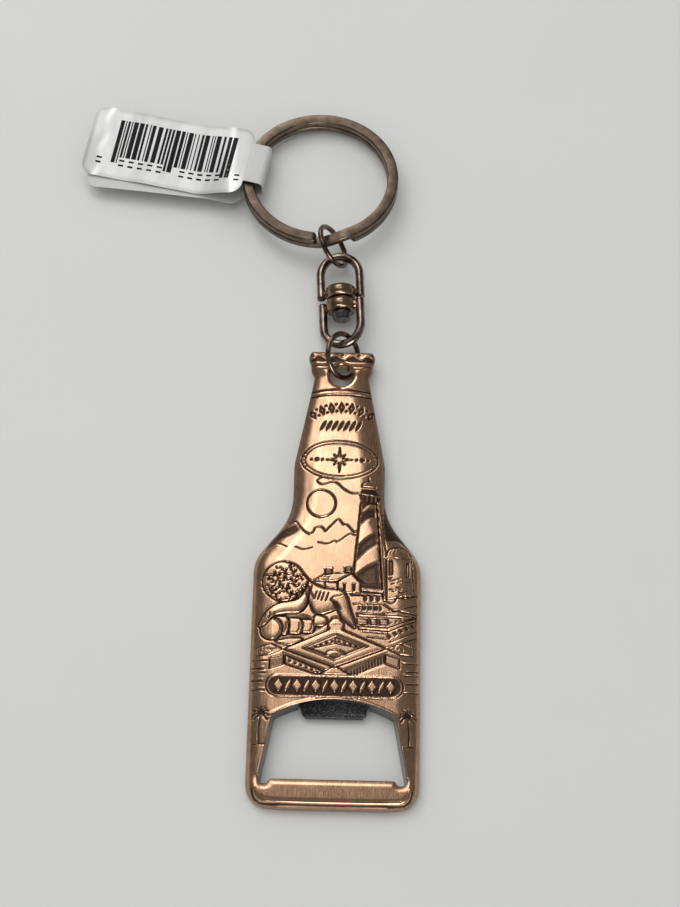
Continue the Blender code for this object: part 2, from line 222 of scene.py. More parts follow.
def window_outline():
    sagitta = ARCH_TOP_Y - WINDOW_HEAD_Y
    radius = (WINDOW_HEAD_HALF ** 2 + sagitta ** 2) / (2 * sagitta)
    span = asin(WINDOW_HEAD_HALF / radius)
    right = [
        (SILL_HALF, SILL_Y, 0.6),
        (NOTCH_INNER, NOTCH_Y, 0.5),
        (WINDOW_FOOT_HALF, NOTCH_Y, 0.9),
        (WINDOW_HEAD_HALF, WINDOW_HEAD_Y, 1.1),
    ]
    turns = [-span * 0.86 * i / 14 for i in range(-14, 15)]
    arch = [(radius * sin(a), ARCH_TOP_Y - radius + radius * cos(a), 0) for a in turns]
    return rounded(right + arch + [(-x, y, r) for x, y, r in reversed(right)])


def hole_outline(count=72):
    turns = np.arange(count) * 2 * pi / count
    radius = HOLE_RADIUS + HOLE_CHAMFER
    return np.stack([radius * np.cos(turns), HOLE_Y + radius * np.sin(turns)], axis=1)


def nearest(points, outline, closed=True):
    """Distance from each point to an outline, and the nearest point on it."""
    best = np.full(len(points), 1e9)
    spot = np.zeros_like(points)
    ends = np.roll(outline, -1, axis=0) if closed else outline[1:]
    for a, b in zip(outline, ends):
        along = b - a
        size = along @ along
        if size == 0:
            continue
        share = np.clip((points - a) @ along / size, 0, 1)
        near = a + share[:, None] * along
        gap = np.hypot(*(points - near).T)
        closer = gap < best
        best[closer] = gap[closer]
        spot[closer] = near[closer]
    return best, spot


def inside(points, outline):
    """Which points lie inside a closed outline."""
    found = np.zeros(len(points), bool)
    x, y = points.T
    for (ax, ay), (bx, by) in zip(outline, np.roll(outline, -1, axis=0)):
        if ay == by:
            continue
        crosses = (ay > y) != (by > y)
        found ^= crosses & (x < ax + (y - ay) * (bx - ax) / (by - ay))
    return found


def signed(points, outline):
    """Distance to an outline, positive inside, and the nearest point on it."""
    gap, spot = nearest(points, outline)
    return np.where(inside(points, outline), gap, -gap), spot


# ---------------------------------------------------------------- mesh helpers

def new_piece(name, vertices, faces, finish, smooth_angle=35):
    """A mesh object from points in millimetres; finish is one material or a list of them."""
    mesh = bpy.data.meshes.new(name)
    mesh.from_pydata([tuple(v) for v in np.asarray(vertices, float) * MM], [], faces)
    mesh.validate()
    for one in finish if isinstance(finish, list) else [finish]:
        mesh.materials.append(one)
    mesh.shade_smooth()
    if smooth_angle:
        mesh.set_sharp_from_angle(angle=radians(smooth_angle))
    made = bpy.data.objects.new(name, mesh)
    bpy.context.scene.collection.objects.link(made)
    return made


def outward(made):
    """Turn every face of a closed piece to point out."""
    bm = bmesh.new()
    bm.from_mesh(made.data)
    bmesh.ops.recalc_face_normals(bm, faces=bm.faces)
    bm.to_mesh(made.data)
    bm.free()
    return made


def skin(rings, closed=False, capped=True):
    """Vertices and faces that join rings of points."""
    count = len(rings[0])
    vertices = [p for ring in rings for p in ring]
    faces = []
    total = len(rings)
    for i in range(total if closed else total - 1):
        for j in range(count):
            k = (j + 1) % count
            one, two = i * count, ((i + 1) % total) * count
            faces.append((one + j, one + k, two + k, two + j))
    if not closed and capped:
        faces.append(tuple(reversed(range(count))))
        faces.append(tuple((total - 1) * count + j for j in range(count)))
    return vertices, faces


def circle(at, side, other, radius, count):
    turns = [2 * pi * i / count for i in range(count)]
    return [at + (side * cos(a) + other * sin(a)) * radius for a in turns]


def bar(path, radii, closed=False, sides=20):
    """A round bar along path; radii is its radius at each point."""
    count = len(path)
    rings = []
    normal = None
    for i, point in enumerate(path):
        ahead = path[(i + 1) % count] if closed or i < count - 1 else point
        behind = path[i - 1] if closed or i > 0 else point
        along = (ahead - behind).normalized()
        if normal is None:
            normal = along.orthogonal().normalized()
        normal = (normal - along * normal.dot(along)).normalized()
        rings.append(circle(point, normal, along.cross(normal), radii[i], sides))
    return skin(rings, closed)


def turned(profile, at, axis, count=72):
    """Turn a closed (radius, distance along the axis) outline about an axis."""
    side = axis.orthogonal().normalized()
    other = axis.cross(side)
    rings = []
    for i in range(count):
        out = side * cos(2 * pi * i / count) + other * sin(2 * pi * i / count)
        rings.append([at + out * r + axis * h for r, h in profile])
    return skin(rings, closed=True)


# ---------------------------------------------------------------- materials

class Shader:
    """A node material with short calls for the nodes used here; lengths are in millimetres."""

    def __init__(self, name):
        self.material = bpy.data.materials.new(name)
        self.material.use_nodes = True
        self.tree = self.material.node_tree
        self.bsdf = self.tree.nodes["Principled BSDF"]

    def node(self, kind, **values):
        made = self.tree.nodes.new(kind)
        for key, value in values.items():
            setattr(made, key, value)
        return made

    def feed(self, slot, value):
        """Link a node's output to a slot, or set the slot to a number or a colour."""
        if isinstance(value, bpy.types.NodeSocket):
            self.tree.links.new(value, slot)
        elif isinstance(value, tuple):
            slot.default_value = (*value, 1)
        else:
            slot.default_value = value

    def place(self, stretch, run):
        """Where a point is, in mm: in space, or along and across a strip if run is its attribute."""
        scaled = self.node("ShaderNodeMapping")
        if run:
            where = self.node("ShaderNodeAttribute", attribute_name=run).outputs["Vector"]
            scaled.inputs["Scale"].default_value = stretch
        else:
            where = self.node("ShaderNodeTexCoord").outputs["Object"]
            scaled.inputs["Scale"].default_value = [s / MM for s in stretch]
        self.feed(scaled.inputs["Vector"], where)
        return scaled.outputs["Vector"]

    def noise(self, per_mm, detail=4, stretch=(1, 1, 1), roughness=0.55, run=None):
        made = self.node("ShaderNodeTexNoise")
        made.inputs["Scale"].default_value = per_mm
        made.inputs["Detail"].default_value = detail
        made.inputs["Roughness"].default_value = roughness
        self.feed(made.inputs["Vector"], self.place(stretch, run))
        return made.outputs["Fac"]

    def attribute(self, name):
        return self.node("ShaderNodeAttribute", attribute_name=name).outputs["Fac"]

    def remap(self, value, low, high, to_low=0.0, to_high=1.0):
        made = self.node("ShaderNodeMapRange")
        self.feed(made.inputs["Value"], value)
        for key, number in zip(("From Min", "From Max", "To Min", "To Max"), (low, high, to_low, to_high)):
            made.inputs[key].default_value = number
        return made.outputs["Result"]

    def maths(self, operation, one, two):
        made = self.node("ShaderNodeMath", operation=operation)
        self.feed(made.inputs[0], one)
        self.feed(made.inputs[1], two)
        return made.outputs[0]

    def mix(self, share, one, two):
        """From colour one at share 0 to colour two at share 1."""
        made = self.node("ShaderNodeMix", data_type="RGBA")
        colours = [s for s in made.inputs if s.type == "RGBA"]
        self.feed(made.inputs["Factor"], share)
        self.feed(colours[0], one)
        self.feed(colours[1], two)
        return next(s for s in made.outputs if s.type == "RGBA")

    def bump(self, height, depth, strength=1.0):
        made = self.node("ShaderNodeBump")
        made.inputs["Strength"].default_value = strength
        made.inputs["Distance"].default_value = depth * MM
        self.feed(made.inputs["Height"], height)
        self.feed(self.bsdf.inputs["Normal"], made.outputs["Normal"])

    def set(self, **values):
        for key, value in values.items():
            self.feed(self.bsdf.inputs[key.replace("_", " ")], value)


def copper_material():
    """Brushed copper plate, dark brown where the patina stays and where shade is painted along the outer edges and on
    the foot, grey on the window's walls.
    """
    look = Shader("antique_copper")
    streak = look.noise(5.0, detail=6, stretch=(2.2, 0.10, 0.4), roughness=0.7)
    blotch = look.noise(0.35, detail=5)
    speck = look.noise(4.5, detail=3)
    bright = look.mix(look.remap(streak, 0.36, 0.6), (0.58, 0.32, 0.19), (0.92, 0.58, 0.37))
    bright = look.mix(look.remap(blotch, 0.4, 0.75, 0.0, 0.6), bright, (0.52, 0.31, 0.19))
    # The dark brown below is the patina's colour and also the colour of the painted shade along the outer edges and on
    # the foot.
    oxide_and_shade_colour = look.mix(speck, (0.035, 0.020, 0.014), (0.085, 0.048, 0.030))
    dark = look.maths("ADD", look.attribute("patina_and_shade"), look.remap(speck, 0.3, 0.7, -0.14, 0.14))
    oxide_and_shade_share = look.remap(dark, 0.12, 0.85)
    colour = look.mix(oxide_and_shade_share, bright, oxide_and_shade_colour)
    colour = look.mix(look.attribute("wall"), colour, (0.115, 0.112, 0.118))
    rough = look.maths("ADD", look.remap(streak, 0.25, 0.75, 0.15, 0.28), look.remap(oxide_and_shade_share, 0, 1, 0, 0.2))
    look.set(Base_Color=colour, Metallic=look.remap(oxide_and_shade_share, 0, 1, 1.0, 0.75), Roughness=rough)
    look.bump(look.maths("ADD", streak, look.maths("MULTIPLY", speck, 0.6)), 0.012, 0.6)
    return look.material


def plated_material(name, dark, light, roughness, run=None):
    """Glossy plating, darker in patches, with fine marks along the metal."""
    look = Shader(name)
    patch = look.noise(0.55, detail=5)
    fine = look.noise(4.0, detail=5, stretch=(0.12, 2.0, 2.0) if run else (1, 1, 1), run=run)
    colour = look.mix(look.remap(patch, 0.35, 0.68), dark, light)
    colour = look.mix(look.remap(fine, 0.45, 0.8, 0.0, 0.5), colour, dark)
    rough = look.remap(fine, 0.3, 0.7, roughness, roughness + 0.1)
    look.set(Base_Color=colour, Metallic=1.0, Roughness=rough)
    look.bump(fine, 0.01, 0.35)
    return look.material


def steel_material(name, dark, light, roughness):
    """Blackened steel with a fine lighter fleck."""
    look = Shader(name)
    fleck = look.noise(3.2, detail=5, roughness=0.7)
    colour = look.mix(look.remap(fleck, 0.5, 0.66), dark, light)
    look.set(Base_Color=colour, Metallic=0.85, Roughness=look.remap(fleck, 0.3, 0.7, roughness, roughness + 0.16))
    look.bump(fleck, 0.03, 0.5)
    return look.material


def film_material():
    look = Shader("tag_film")
    cloud = look.noise(0.25, detail=3, stretch=(1.0, 0.25, 0.25))
    colour = look.mix(look.remap(cloud, 0.4, 0.65), (0.55, 0.56, 0.54), (0.64, 0.65, 0.63))
    colour = look.mix(look.attribute("rim"), colour, (0.44, 0.445, 0.43))
    # Painted highlight: where the crease attribute is set, pale streaks of glare are painted into the film's colour.
    colour = look.mix(look.attribute("crease"), colour, (0.93, 0.94, 0.93))
    look.set(Base_Color=colour, Roughness=0.32, Metallic=0.0, Coat_Weight=1.0, Coat_Roughness=0.06)
    look.bump(look.noise(0.35, detail=2), 0.05, 0.25)
    return look.material


def paper_material():
    """The matt white sleeve and the back layer of the tag."""
    look = Shader("tag_paper")
    grain = look.noise(3.0, detail=4)
    colour = look.mix(grain, (0.52, 0.52, 0.51), (0.59, 0.59, 0.58))
    look.set(Base_Color=colour, Roughness=0.55, Metallic=0.0)
    look.bump(grain, 0.01, 0.3)
    return look.material


def ink_material():
    look = Shader("tag_ink")
    speck = look.noise(9.0, detail=3)
    colour = look.mix(speck, (0.004, 0.004, 0.005), (0.013, 0.012, 0.014))
    look.set(Base_Color=colour, Roughness=0.5, Specular_IOR_Level=0.12)
    return look.material


def table_material():
    look = Shader("pale_table")
    cloud = look.noise(0.02, detail=3)
    colour = look.mix(cloud, (0.64, 0.645, 0.62), (0.67, 0.675, 0.65))
    look.set(Base_Color=colour, Roughness=0.5, Specular_IOR_Level=0.3)
    return look.material


# ---------------------------------------------------------------- relief

def smooth(share):
    share = np.clip(share, 0, 1)
    return share * share * (3 - 2 * share)


class Canvas:
    """The bottle's front seen from above: relief height in mm and patina from 0 to 1, with painted shade on the foot,
    on a grid.
    """

    def __init__(self, low, high, pitch):
        self.low = np.array([low[0], low[1]])
        self.pitch = pitch
        x = np.arange(low[0], high[0] + pitch, pitch)
        y = np.arange(low[1], high[1] + pitch, pitch)
        self.x, self.y = np.meshgrid(x, y)
        self.height = np.zeros_like(self.x)
        self.dark = np.zeros_like(self.x)

    def patch(self, points, margin):
        """The part of the grid round some points."""
        points = np.asarray(points, float)
        first = np.floor((points.min(0) - margin - self.low) / self.pitch).astype(int)
        last = np.ceil((points.max(0) + margin - self.low) / self.pitch).astype(int) + 1
        first = np.maximum(first, 0)
        last = np.maximum(last, first + 1)
        return np.s_[first[1]:last[1], first[0]:last[0]]

    def spots(self, area):
        return np.stack([self.x[area].ravel(), self.y[area].ravel()], axis=1)

    def line(self, points, width=0.3, depth=0.14, dark=1.0, closed=False):
        """Cut a round-bottomed groove; a negative depth raises a ridge."""
        points = np.asarray(points, float)
        area = self.patch(points, width)
        gap = nearest(self.spots(area), points, closed)[0].reshape(self.x[area].shape)
        share = np.clip(1 - (2 * gap / width) ** 2, 0, 1)
        self.height[area] -= depth * share
        self.dark[area] = np.maximum(self.dark[area], dark * share)

    def fill(self, outline, level, edge=0.3, dark=0.0, bulge=0.0, reach=1.0):
        """Give the inside of an outline its own level and patina, over whatever was there."""
        outline = np.asarray(outline, float)
        area = self.patch(outline, edge)
        shape = self.x[area].shape
        gap = signed(self.spots(area), outline)[0].reshape(shape)
        share = smooth(gap / edge)
        round_up = np.sqrt(1 - (1 - np.clip(gap / reach, 0, 1)) ** 2)
        target = level + bulge * round_up
        self.height[area] += share * (target - self.height[area])
        self.dark[area] += share * (dark - self.dark[area])

    def ridge(self, points, width, level, dark=0.0, closed=False):
        """Raise a round-topped strip to a level and rub its patina off."""
        points = np.asarray(points, float)
        area = self.patch(points, width)
        gap = nearest(self.spots(area), points, closed)[0].reshape(self.x[area].shape)
        share = np.sqrt(np.clip(1 - (2 * gap / width) ** 2, 0, 1))
        self.height[area] += share * (level - self.height[area])
        self.dark[area] += share * (dark - self.dark[area])

    def drawn(self, outline, level=0.08, groove=0.3, depth=0.14, **how):
        """A filled shape with a dark groove round it."""
        self.fill(outline, level, **how)
        self.line(outline, groove, depth, closed=True)

    def stipple(self, outline, count, size, depth, seed, dark=0.0):
        """Small random pits inside an outline."""
        outline = np.asarray(outline, float)
        draw = np.random.default_rng(seed)
        low, high = outline.min(0), outline.max(0)
        spots = draw.uniform(low, high, (count, 2))
        for spot in spots[inside(spots, outline)]:
            area = self.patch(spot[None], size)
            gap = np.hypot(self.x[area] - spot[0], self.y[area] - spot[1])
            share = np.clip(1 - (gap / size) ** 2, 0, 1)
            self.height[area] -= depth * share
            self.dark[area] = np.maximum(self.dark[area], dark * share)

    def sample(self, layer, points):
        """A layer's values at any points, between the grid's points in proportion."""
        spot = (points - self.low) / self.pitch
        rows, columns = layer.shape
        c = np.clip(np.floor(spot[:, 0]).astype(int), 0, columns - 2)
        r = np.clip(np.floor(spot[:, 1]).astype(int), 0, rows - 2)
        u = np.clip(spot[:, 0] - c, 0, 1)
        v = np.clip(spot[:, 1] - r, 0, 1)
        low = layer[r, c] * (1 - u) + layer[r, c + 1] * u
        high = layer[r + 1, c] * (1 - u) + layer[r + 1, c + 1] * u
        return low * (1 - v) + high * v


def blurred(layer, radius):
    """A box blur by running sums, radius in grid points."""
    for axis in (0, 1):
        padded = np.pad(layer, [(radius + 1, radius) if a == axis else (0, 0) for a in (0, 1)], mode="edge")
        total = np.cumsum(padded, axis=axis)
        size = layer.shape[axis]
        high = np.take(total, range(2 * radius + 1, 2 * radius + 1 + size), axis=axis)
        low = np.take(total, range(size), axis=axis)
        layer = (high - low) / (2 * radius + 1)
    return layer


# ---------------------------------------------------------------- the bottle's form

def oval(x, y, half_x, half_y, count=48, start=0.0, end=2 * pi):
    turns = np.linspace(start, end, count, endpoint=end - start < 2 * pi)
    return np.stack([x + half_x * np.cos(turns), y + half_y * np.sin(turns)], axis=1)


def dome_reach(y):
    """How far in from the outline the front keeps rising."""
    return np.interp(y, [BOTTOM_Y, -30.5, -22, 12, WAIST_Y, 50, 53, TOP_Y],
                     [1.7, 2.0, DOME_REACH, DOME_REACH, 5.0, 4.0, 1.8, 1.0])


def crown_height(y):
    return np.interp(y, [WAIST_Y, NECK_TOP_Y], [CROWN_Z, NECK_CROWN_Z])


def front_height(y, gap):
    """Height of the plain front at a distance gap in from the outline."""
    share = np.clip(gap / dome_reach(y), 0, 1)
    return EDGE_Z + (crown_height(y) - EDGE_Z) * np.sqrt(1 - (1 - share) ** 2)


class Outlines:
    """The bottle's three outlines; the solid lies inside the first and outside the others."""

    def __init__(self):
        self.body = bottle_outline()
        self.window = window_outline()
        self.hole = hole_outline()

    def measure(self, points):
        """Distance into the solid from its nearest edge, that edge's nearest point, and the distance
        in from the outer outline."""
        outer, outer_spot = signed(points, self.body)
        gap, spot = outer.copy(), outer_spot.copy()
        for outline in (self.window, self.hole):
            away, near = signed(points, outline)
            closer = -away < gap
            gap[closer] = -away[closer]
            spot[closer] = near[closer]
        return gap, spot, outer


def border_loops(cells):
    """Closed loops of the vertices along the open edges of quads."""
    edges = set()
    for cell in cells:
        edges.update(zip(cell, cell[1:] + cell[:1]))
    following = {a: b for a, b in edges if (b, a) not in edges}
    loops = []
    while following:
        start, at = following.popitem()
        loop = [start]
        while at != start:
            loop.append(at)
            at = following.pop(at)
        loops.append(loop)
    return loops


def front_cells(canvas, solid):
    """Quads between the grid points that lie in the solid, as tuples of grid indices."""
    columns = canvas.x.shape[1]
    whole = solid[:-1, :-1] & solid[1:, :-1] & solid[:-1, 1:] & solid[1:, 1:]
    rows, places = np.nonzero(whole)
    corner = rows * columns + places
    return np.stack([corner, corner + 1, corner + columns + 1, corner + columns], axis=1)


def side_rows(gap_z):
    """From the front's edge over the side wall to the flat back, as (distance in, height) rows."""
    rows = [(RIM * share, gap_z(RIM * share)) for share in (0.6, 0.3, 0.12, 0.03, 0)]
    rows += [(0, 0.9), (0, BACK_ROUND)]
    for step in range(1, 6):
        turn = pi / 2 * step / 5
        rows.append((BACK_ROUND * (1 - cos(turn)), BACK_ROUND * (1 - sin(turn))))
    return rows


def window_rows(gap_z):
    """Over the window's rim and down its wall, which leans into the opening."""
    top = gap_z(RIM)
    rows = []
    for step in range(1, 5):
        turn = pi / 2 * step / 4
        rows.append((RIM * (1 - sin(turn)), top - RIM * (1 - cos(turn))))
    for share in (0.02, 0.3, 0.6, 0.96):
        rows.append((-WALL_LEAN * share, (top - RIM) * (1 - share)))
    return rows + [(-WALL_LEAN + 0.1, 0)]


def hole_rows(gap_z):
    """Round both rims of the hole in the neck."""
    top = gap_z(RIM)
    rows = [(RIM * 0.5, top - 0.01), (0, top - 0.05)]
    for step in range(1, 6):
        turn = pi / 2 * step / 5
        rows.append((-HOLE_CHAMFER * sin(turn), top - 0.05 - HOLE_CHAMFER * (1 - cos(turn))))
    rows.append((-HOLE_CHAMFER, HOLE_CHAMFER))
    for step in range(1, 5):
        turn = pi / 2 * step / 4
        rows.append((-HOLE_CHAMFER * cos(turn), HOLE_CHAMFER * (1 - sin(turn))))
    return rows


def bottle_shell(canvas, outlines):
    """The whole bottle's closed skin, without the insert's pocket."""
    points = canvas.spots(np.s_[:, :])
    gap, spot, outer = outlines.measure(points)
    cells = front_cells(canvas, (gap >= RIM).reshape(canvas.x.shape))
    used, cells = np.unique(cells, return_inverse=True)
    cells = [tuple(cell) for cell in cells.reshape(-1, 4).tolist()]
    points, gap, spot, outer = points[used], gap[used], spot[used], outer[used]
    loops = border_loops(cells)
    edge = np.array([v for loop in loops for v in loop])
    inward = (points[edge] - spot[edge]) / gap[edge][:, None]
    points[edge] = spot[edge] + inward * RIM
    outer[edge] = signed(points[edge], outlines.body)[0]
    height = front_height(points[:, 1], outer) + canvas.sample(canvas.height, points)
    vertices = [np.column_stack([points, height])]
    faces = list(cells)
    count = len(points)
    last_rings = []
    for loop in loops:
        ring = np.array(loop)
        normal = (points[ring] - spot[ring]) / RIM
        y = points[ring, 1]
        if np.any(y < BOTTOM_Y + 1):
            plain = front_height(y, RIM)
            rows = side_rows(lambda d: front_height(y, d) + (height[ring] - plain) * d / RIM)
        elif np.all(y > NECK_ROOT_Y):
            rows = hole_rows(lambda d: height[ring])
        else:
            rows = window_rows(lambda d: height[ring])
        before = ring
        for distance, z in rows:
            place = spot[ring] + normal * distance
            vertices.append(np.column_stack([place, np.broadcast_to(z, len(ring))]))
            now = np.arange(count, count + len(ring))
            count += len(ring)
            for i in range(len(ring)):
                faces.append((before[i], before[i - 1], now[i - 1], now[i]))
            before = now
        last_rings.append(before)
    return np.vstack(vertices), faces, last_rings


def close_back(made, rings):
    """Fill the flat back between the last rings."""
    bm = bmesh.new()
    bm.from_mesh(made.data)
    bm.verts.ensure_lookup_table()
    edges = []
    for ring in rings:
        for a, b in zip(ring, np.roll(ring, -1)):
            edges.append(bm.edges.get((bm.verts[a], bm.verts[b])))
    bmesh.ops.triangle_fill(bm, edges=edges, use_beauty=True, normal=(0, 0, -1))
    bmesh.ops.recalc_face_normals(bm, faces=bm.faces)
    bm.to_mesh(made.data)
    bm.free()


def upright_prism(name, outline, low, high):
    """A closed prism, used as a cutter."""
    rings = [[(x, y, z) for x, y in outline] for z in (low, high)]
    vertices, faces = skin(rings)
    return outward(new_piece(name, vertices, faces, [], 0))


def cut_away(made, cutter):
    """Take a closed cutter out of a piece for good, and remove the cutter."""
    step = made.modifiers.new("cut", "BOOLEAN")
    step.operation = "DIFFERENCE"
    step.solver = "MANIFOLD"
    step.object = cutter
    cut = bpy.data.meshes.new_from_object(made.evaluated_get(bpy.context.evaluated_depsgraph_get()))
    made.modifiers.clear()
    old = made.data
    made.data = cut
    cut.name = made.name
    bpy.data.meshes.remove(old)
    bpy.data.objects.remove(cutter)


def make_bottle(canvas, finish):
    outlines = Outlines()
    vertices, faces, rings = bottle_shell(canvas, outlines)
    bottle = new_piece("cast_bottle", vertices, faces, finish, 0)
    close_back(bottle, rings)
    pocket = rounded([
        (POCKET_HALF, WINDOW_HEAD_Y - 2, 0.1),
        (POCKET_HALF, INSERT_HIGH.y + POCKET_GAP, 0.4),
        (-POCKET_HALF, INSERT_HIGH.y + POCKET_GAP, 0.4),
        (-POCKET_HALF, WINDOW_HEAD_Y - 2, 0.1),
    ])
    cut_away(bottle, upright_prism("pocket_cutter", pocket, -1, POCKET_TOP))
    bottle.data.shade_smooth()
    bottle.data.set_sharp_from_angle(angle=radians(62))
    shade_bottle(bottle, canvas, outlines)
    return bottle


def shade_bottle(bottle, canvas, outlines):
    """Per-vertex patina with painted shade along the outer edges, and how far a vertex belongs to the window's walls.
    """
    mesh = bottle.data
    spots = np.empty(len(mesh.vertices) * 3)
    mesh.vertices.foreach_get("co", spots)
    spots = spots.reshape(-1, 3) / MM
    flat = spots[:, :2]
    height = spots[:, 2]
    in_window = signed(flat, outlines.window)[0]
    in_body = signed(flat, outlines.body)[0]
    in_pocket = (flat[:, 1] < INSERT_HIGH.y + POCKET_GAP + 0.1) & (in_body > 1)
    wall = ((in_window > -0.03) | in_pocket & (height < POCKET_TOP + 0.01) & (height > 0.01)).astype(float)
    cavity = np.clip((blurred(canvas.height, 5) - canvas.height) * 6, 0, 0.75)
    patina_and_shade = canvas.sample(np.clip(canvas.dark * 0.9 + cavity, 0, 1), flat)
    # Painted shade: a band along the outer edges, wider and darker on the neck and narrow at the foot, darkens the
    # copper as if it lay in shade; it is merged with the patina below.
    on_neck = smooth((flat[:, 1] - 14) / 8)
    fade = np.where(flat[:, 1] < BOTTOM_Y + 1.2, 0.3, 1.2 + 0.5 * on_neck)
    side = smooth((fade + 0.15 - in_body) / fade) * (0.5 + 0.2 * on_neck)
    patina_and_shade = np.where(height < 0.02, 0.12, np.maximum(patina_and_shade, side))
    for name, values in (("patina_and_shade", patina_and_shade), ("wall", wall)):
        layer = mesh.attributes.new(name, "FLOAT", "POINT")
        layer.data.foreach_set("value", values.astype(np.float32))


def make_studs(finish):
    """The two cast studs that hold the insert, with heads peened over on the back."""
    vertices = []
    faces = []
    for side in (-1, 1):
        rings = []
        at = Vector((side * STUD_X, STUD_Y, 0))
        for radius, z in ((0.95, POCKET_TOP + 0.2), (0.95, 0.5), (0.9, 0.36), (0.6, 0.2), (0.25, 0.14)):
            rings.append(circle(at + Vector((0, 0, z)), Vector((1, 0, 0)), Vector((0, 1, 0)), radius, 32))
        some, joined = skin(rings)
        faces += [tuple(i + len(vertices) for i in face) for face in joined]
        vertices += some
    return outward(new_piece("insert_studs", vertices, faces, finish))


def make_insert(finish):
    """The steel plate in the back; its lip hangs into the window and slopes back to its tip."""
    half = INSERT_HIGH.x
    tip_half = half - 0.5
    bevel = 0.7
    tip = INSERT_LOW.y
    head = INSERT_HIGH.y
    slope = ARCH_TOP_Y - 0.6
    low, high = INSERT_LOW.z, INSERT_HIGH.z
    plan = rounded([
        (half, head, 0.5), (-half, head, 0.5), (-half, slope, 0.8), (-tip_half, tip + bevel, 0.25),
        (-tip_half + bevel, tip, 0.3), (tip_half - bevel, tip, 0.3), (tip_half, tip + bevel, 0.25),
        (half, slope, 0.8),
    ], steps=5)
    middle = np.array([0, (tip + head) / 2])

    def ring(inset, z):
        away = nearest_inward(plan, middle, inset)
        rows = []
        for x, y in away:
            share = max(0.0, (slope - y) / (slope - tip))
            rows.append((x, y, z - (0.6 * share if z > 1 else 0)))
        return rows

    round_over = 0.14
    rings = [ring(round_over, low), ring(0, low + round_over), ring(0, high - 0.3), ring(0.06, high - 0.1),
             ring(0.3, high)]
    vertices, faces = skin(rings)
    return outward(new_piece("steel_insert", vertices, faces, finish, 40))


def nearest_inward(outline, middle, inset):
    """An outline moved inwards by inset, corner by corner."""
    before = np.roll(outline, 1, axis=0)
    after = np.roll(outline, -1, axis=0)
    along = after - before
    along /= np.linalg.norm(along, axis=1)[:, None]
    normal = np.stack([-along[:, 1], along[:, 0]], axis=1)
    facing = np.sign(np.sum((middle - outline) * normal, axis=1))
    return outline + normal * (facing * inset)[:, None]


# ---------------------------------------------------------------- links

def ring_wire(name, at, up, side, radius, wire, joint_turn, finish):
    """A jump ring bent from wire, with a fine butt joint at joint_turn."""
    steps = 96
    gap = 0.05 / radius
    path, radii = [], []
    for i in range(steps + 1):
        turn = joint_turn + gap + (2 * pi - 2 * gap) * i / steps
        path.append(at + (up * cos(turn) + side * sin(turn)) * radius)
        radii.append(wire * (0.86 if i in (0, steps) else 1))
    vertices, faces = bar(path, radii)
    return outward(new_piece(name, vertices, faces, finish))


def swivel_side(roll):
    return Matrix.Rotation(roll, 3, SWIVEL_AXIS) @ SWIVEL_AXIS.cross(Vector((0, 0, 1))).normalized()


def make_bail(name, roll, direction, finish):
    """A U of round wire with blunt, slightly rounded ends."""
    side = swivel_side(roll)
    start = COLLAR_GAP / 2 + 0.1
    flat = []
    for share in (0, 0.004, 0.02, 0.06, 0.15, 0.4, 0.7):
        flat.append((BAIL_HALF, start + (BAIL_LEG + 0.25) * share))
    arch = []
    steps = 40
    for i in range(steps + 1):
        turn = pi * i / steps
        arch.append((BAIL_HALF * cos(turn), start + 0.25 + BAIL_LEG + BAIL_ARCH * sin(turn)))
    path = [SWIVEL_AT + side * p + SWIVEL_AXIS * (direction * q)
            for p, q in flat + arch + [(-p, q) for p, q in reversed(flat)]]
    ends = [BAIL_WIRE * share for share in (0.62, 0.8, 0.93, 1)]
    radii = ends + [BAIL_WIRE] * (len(path) - 2 * len(ends)) + ends[::-1]
    vertices, faces = bar(path, radii, sides=28)
    return outward(new_piece(name, vertices, faces, finish))


def make_collar(name, roll, direction, finish):
    """A drum with a soft barrel and a fine bead at each rim, joined to its bail by two lugs."""
    axis = SWIVEL_AXIS * direction
    low = COLLAR_GAP / 2
    high = low + COLLAR_LENGTH
    radius = COLLAR_RADIUS
    profile = [(COLLAR_BORE, low), (radius - 0.45, low), (radius - 0.2, low + 0.08), (radius - 0.05, low + 0.26),
               (radius - 0.07, low + 0.42), (radius - 0.14, low + 0.52)]
    for i in range(9):
        share = i / 8
        bulge = 0.14 * (2 * share - 1) ** 2
        profile.append((radius - bulge, low + 0.6 + (COLLAR_LENGTH - 1.1) * share))
    profile += [(radius - 0.1, high - 0.4), (radius - 0.07, high - 0.25), (radius - 0.2, high - 0.08),
                (radius - 0.5, high), (COLLAR_BORE + 0.5, high), (COLLAR_BORE + 0.1, high - 0.12),
                (COLLAR_BORE, high - 0.3)]
    vertices, faces = turned(profile, SWIVEL_AT, axis, 96)
    side = swivel_side(roll)
    other = side.cross(axis)
    for hand in (-1, 1):
        rings = []
        for reach, width in ((radius - 0.6, 0.85), (radius - 0.1, 0.85), (radius + 0.25, 0.62), (BAIL_HALF, 0.55)):
            at = SWIVEL_AT + side * (hand * reach) + axis * (low + COLLAR_LENGTH * 0.5)
            rings.append(circle(at, axis * 1.15, other, width, 24))
        some, joined = skin(rings)
        faces += [tuple(i + len(vertices) for i in face) for face in joined]
        vertices = vertices + some
    return outward(new_piece(name, vertices, faces, finish))


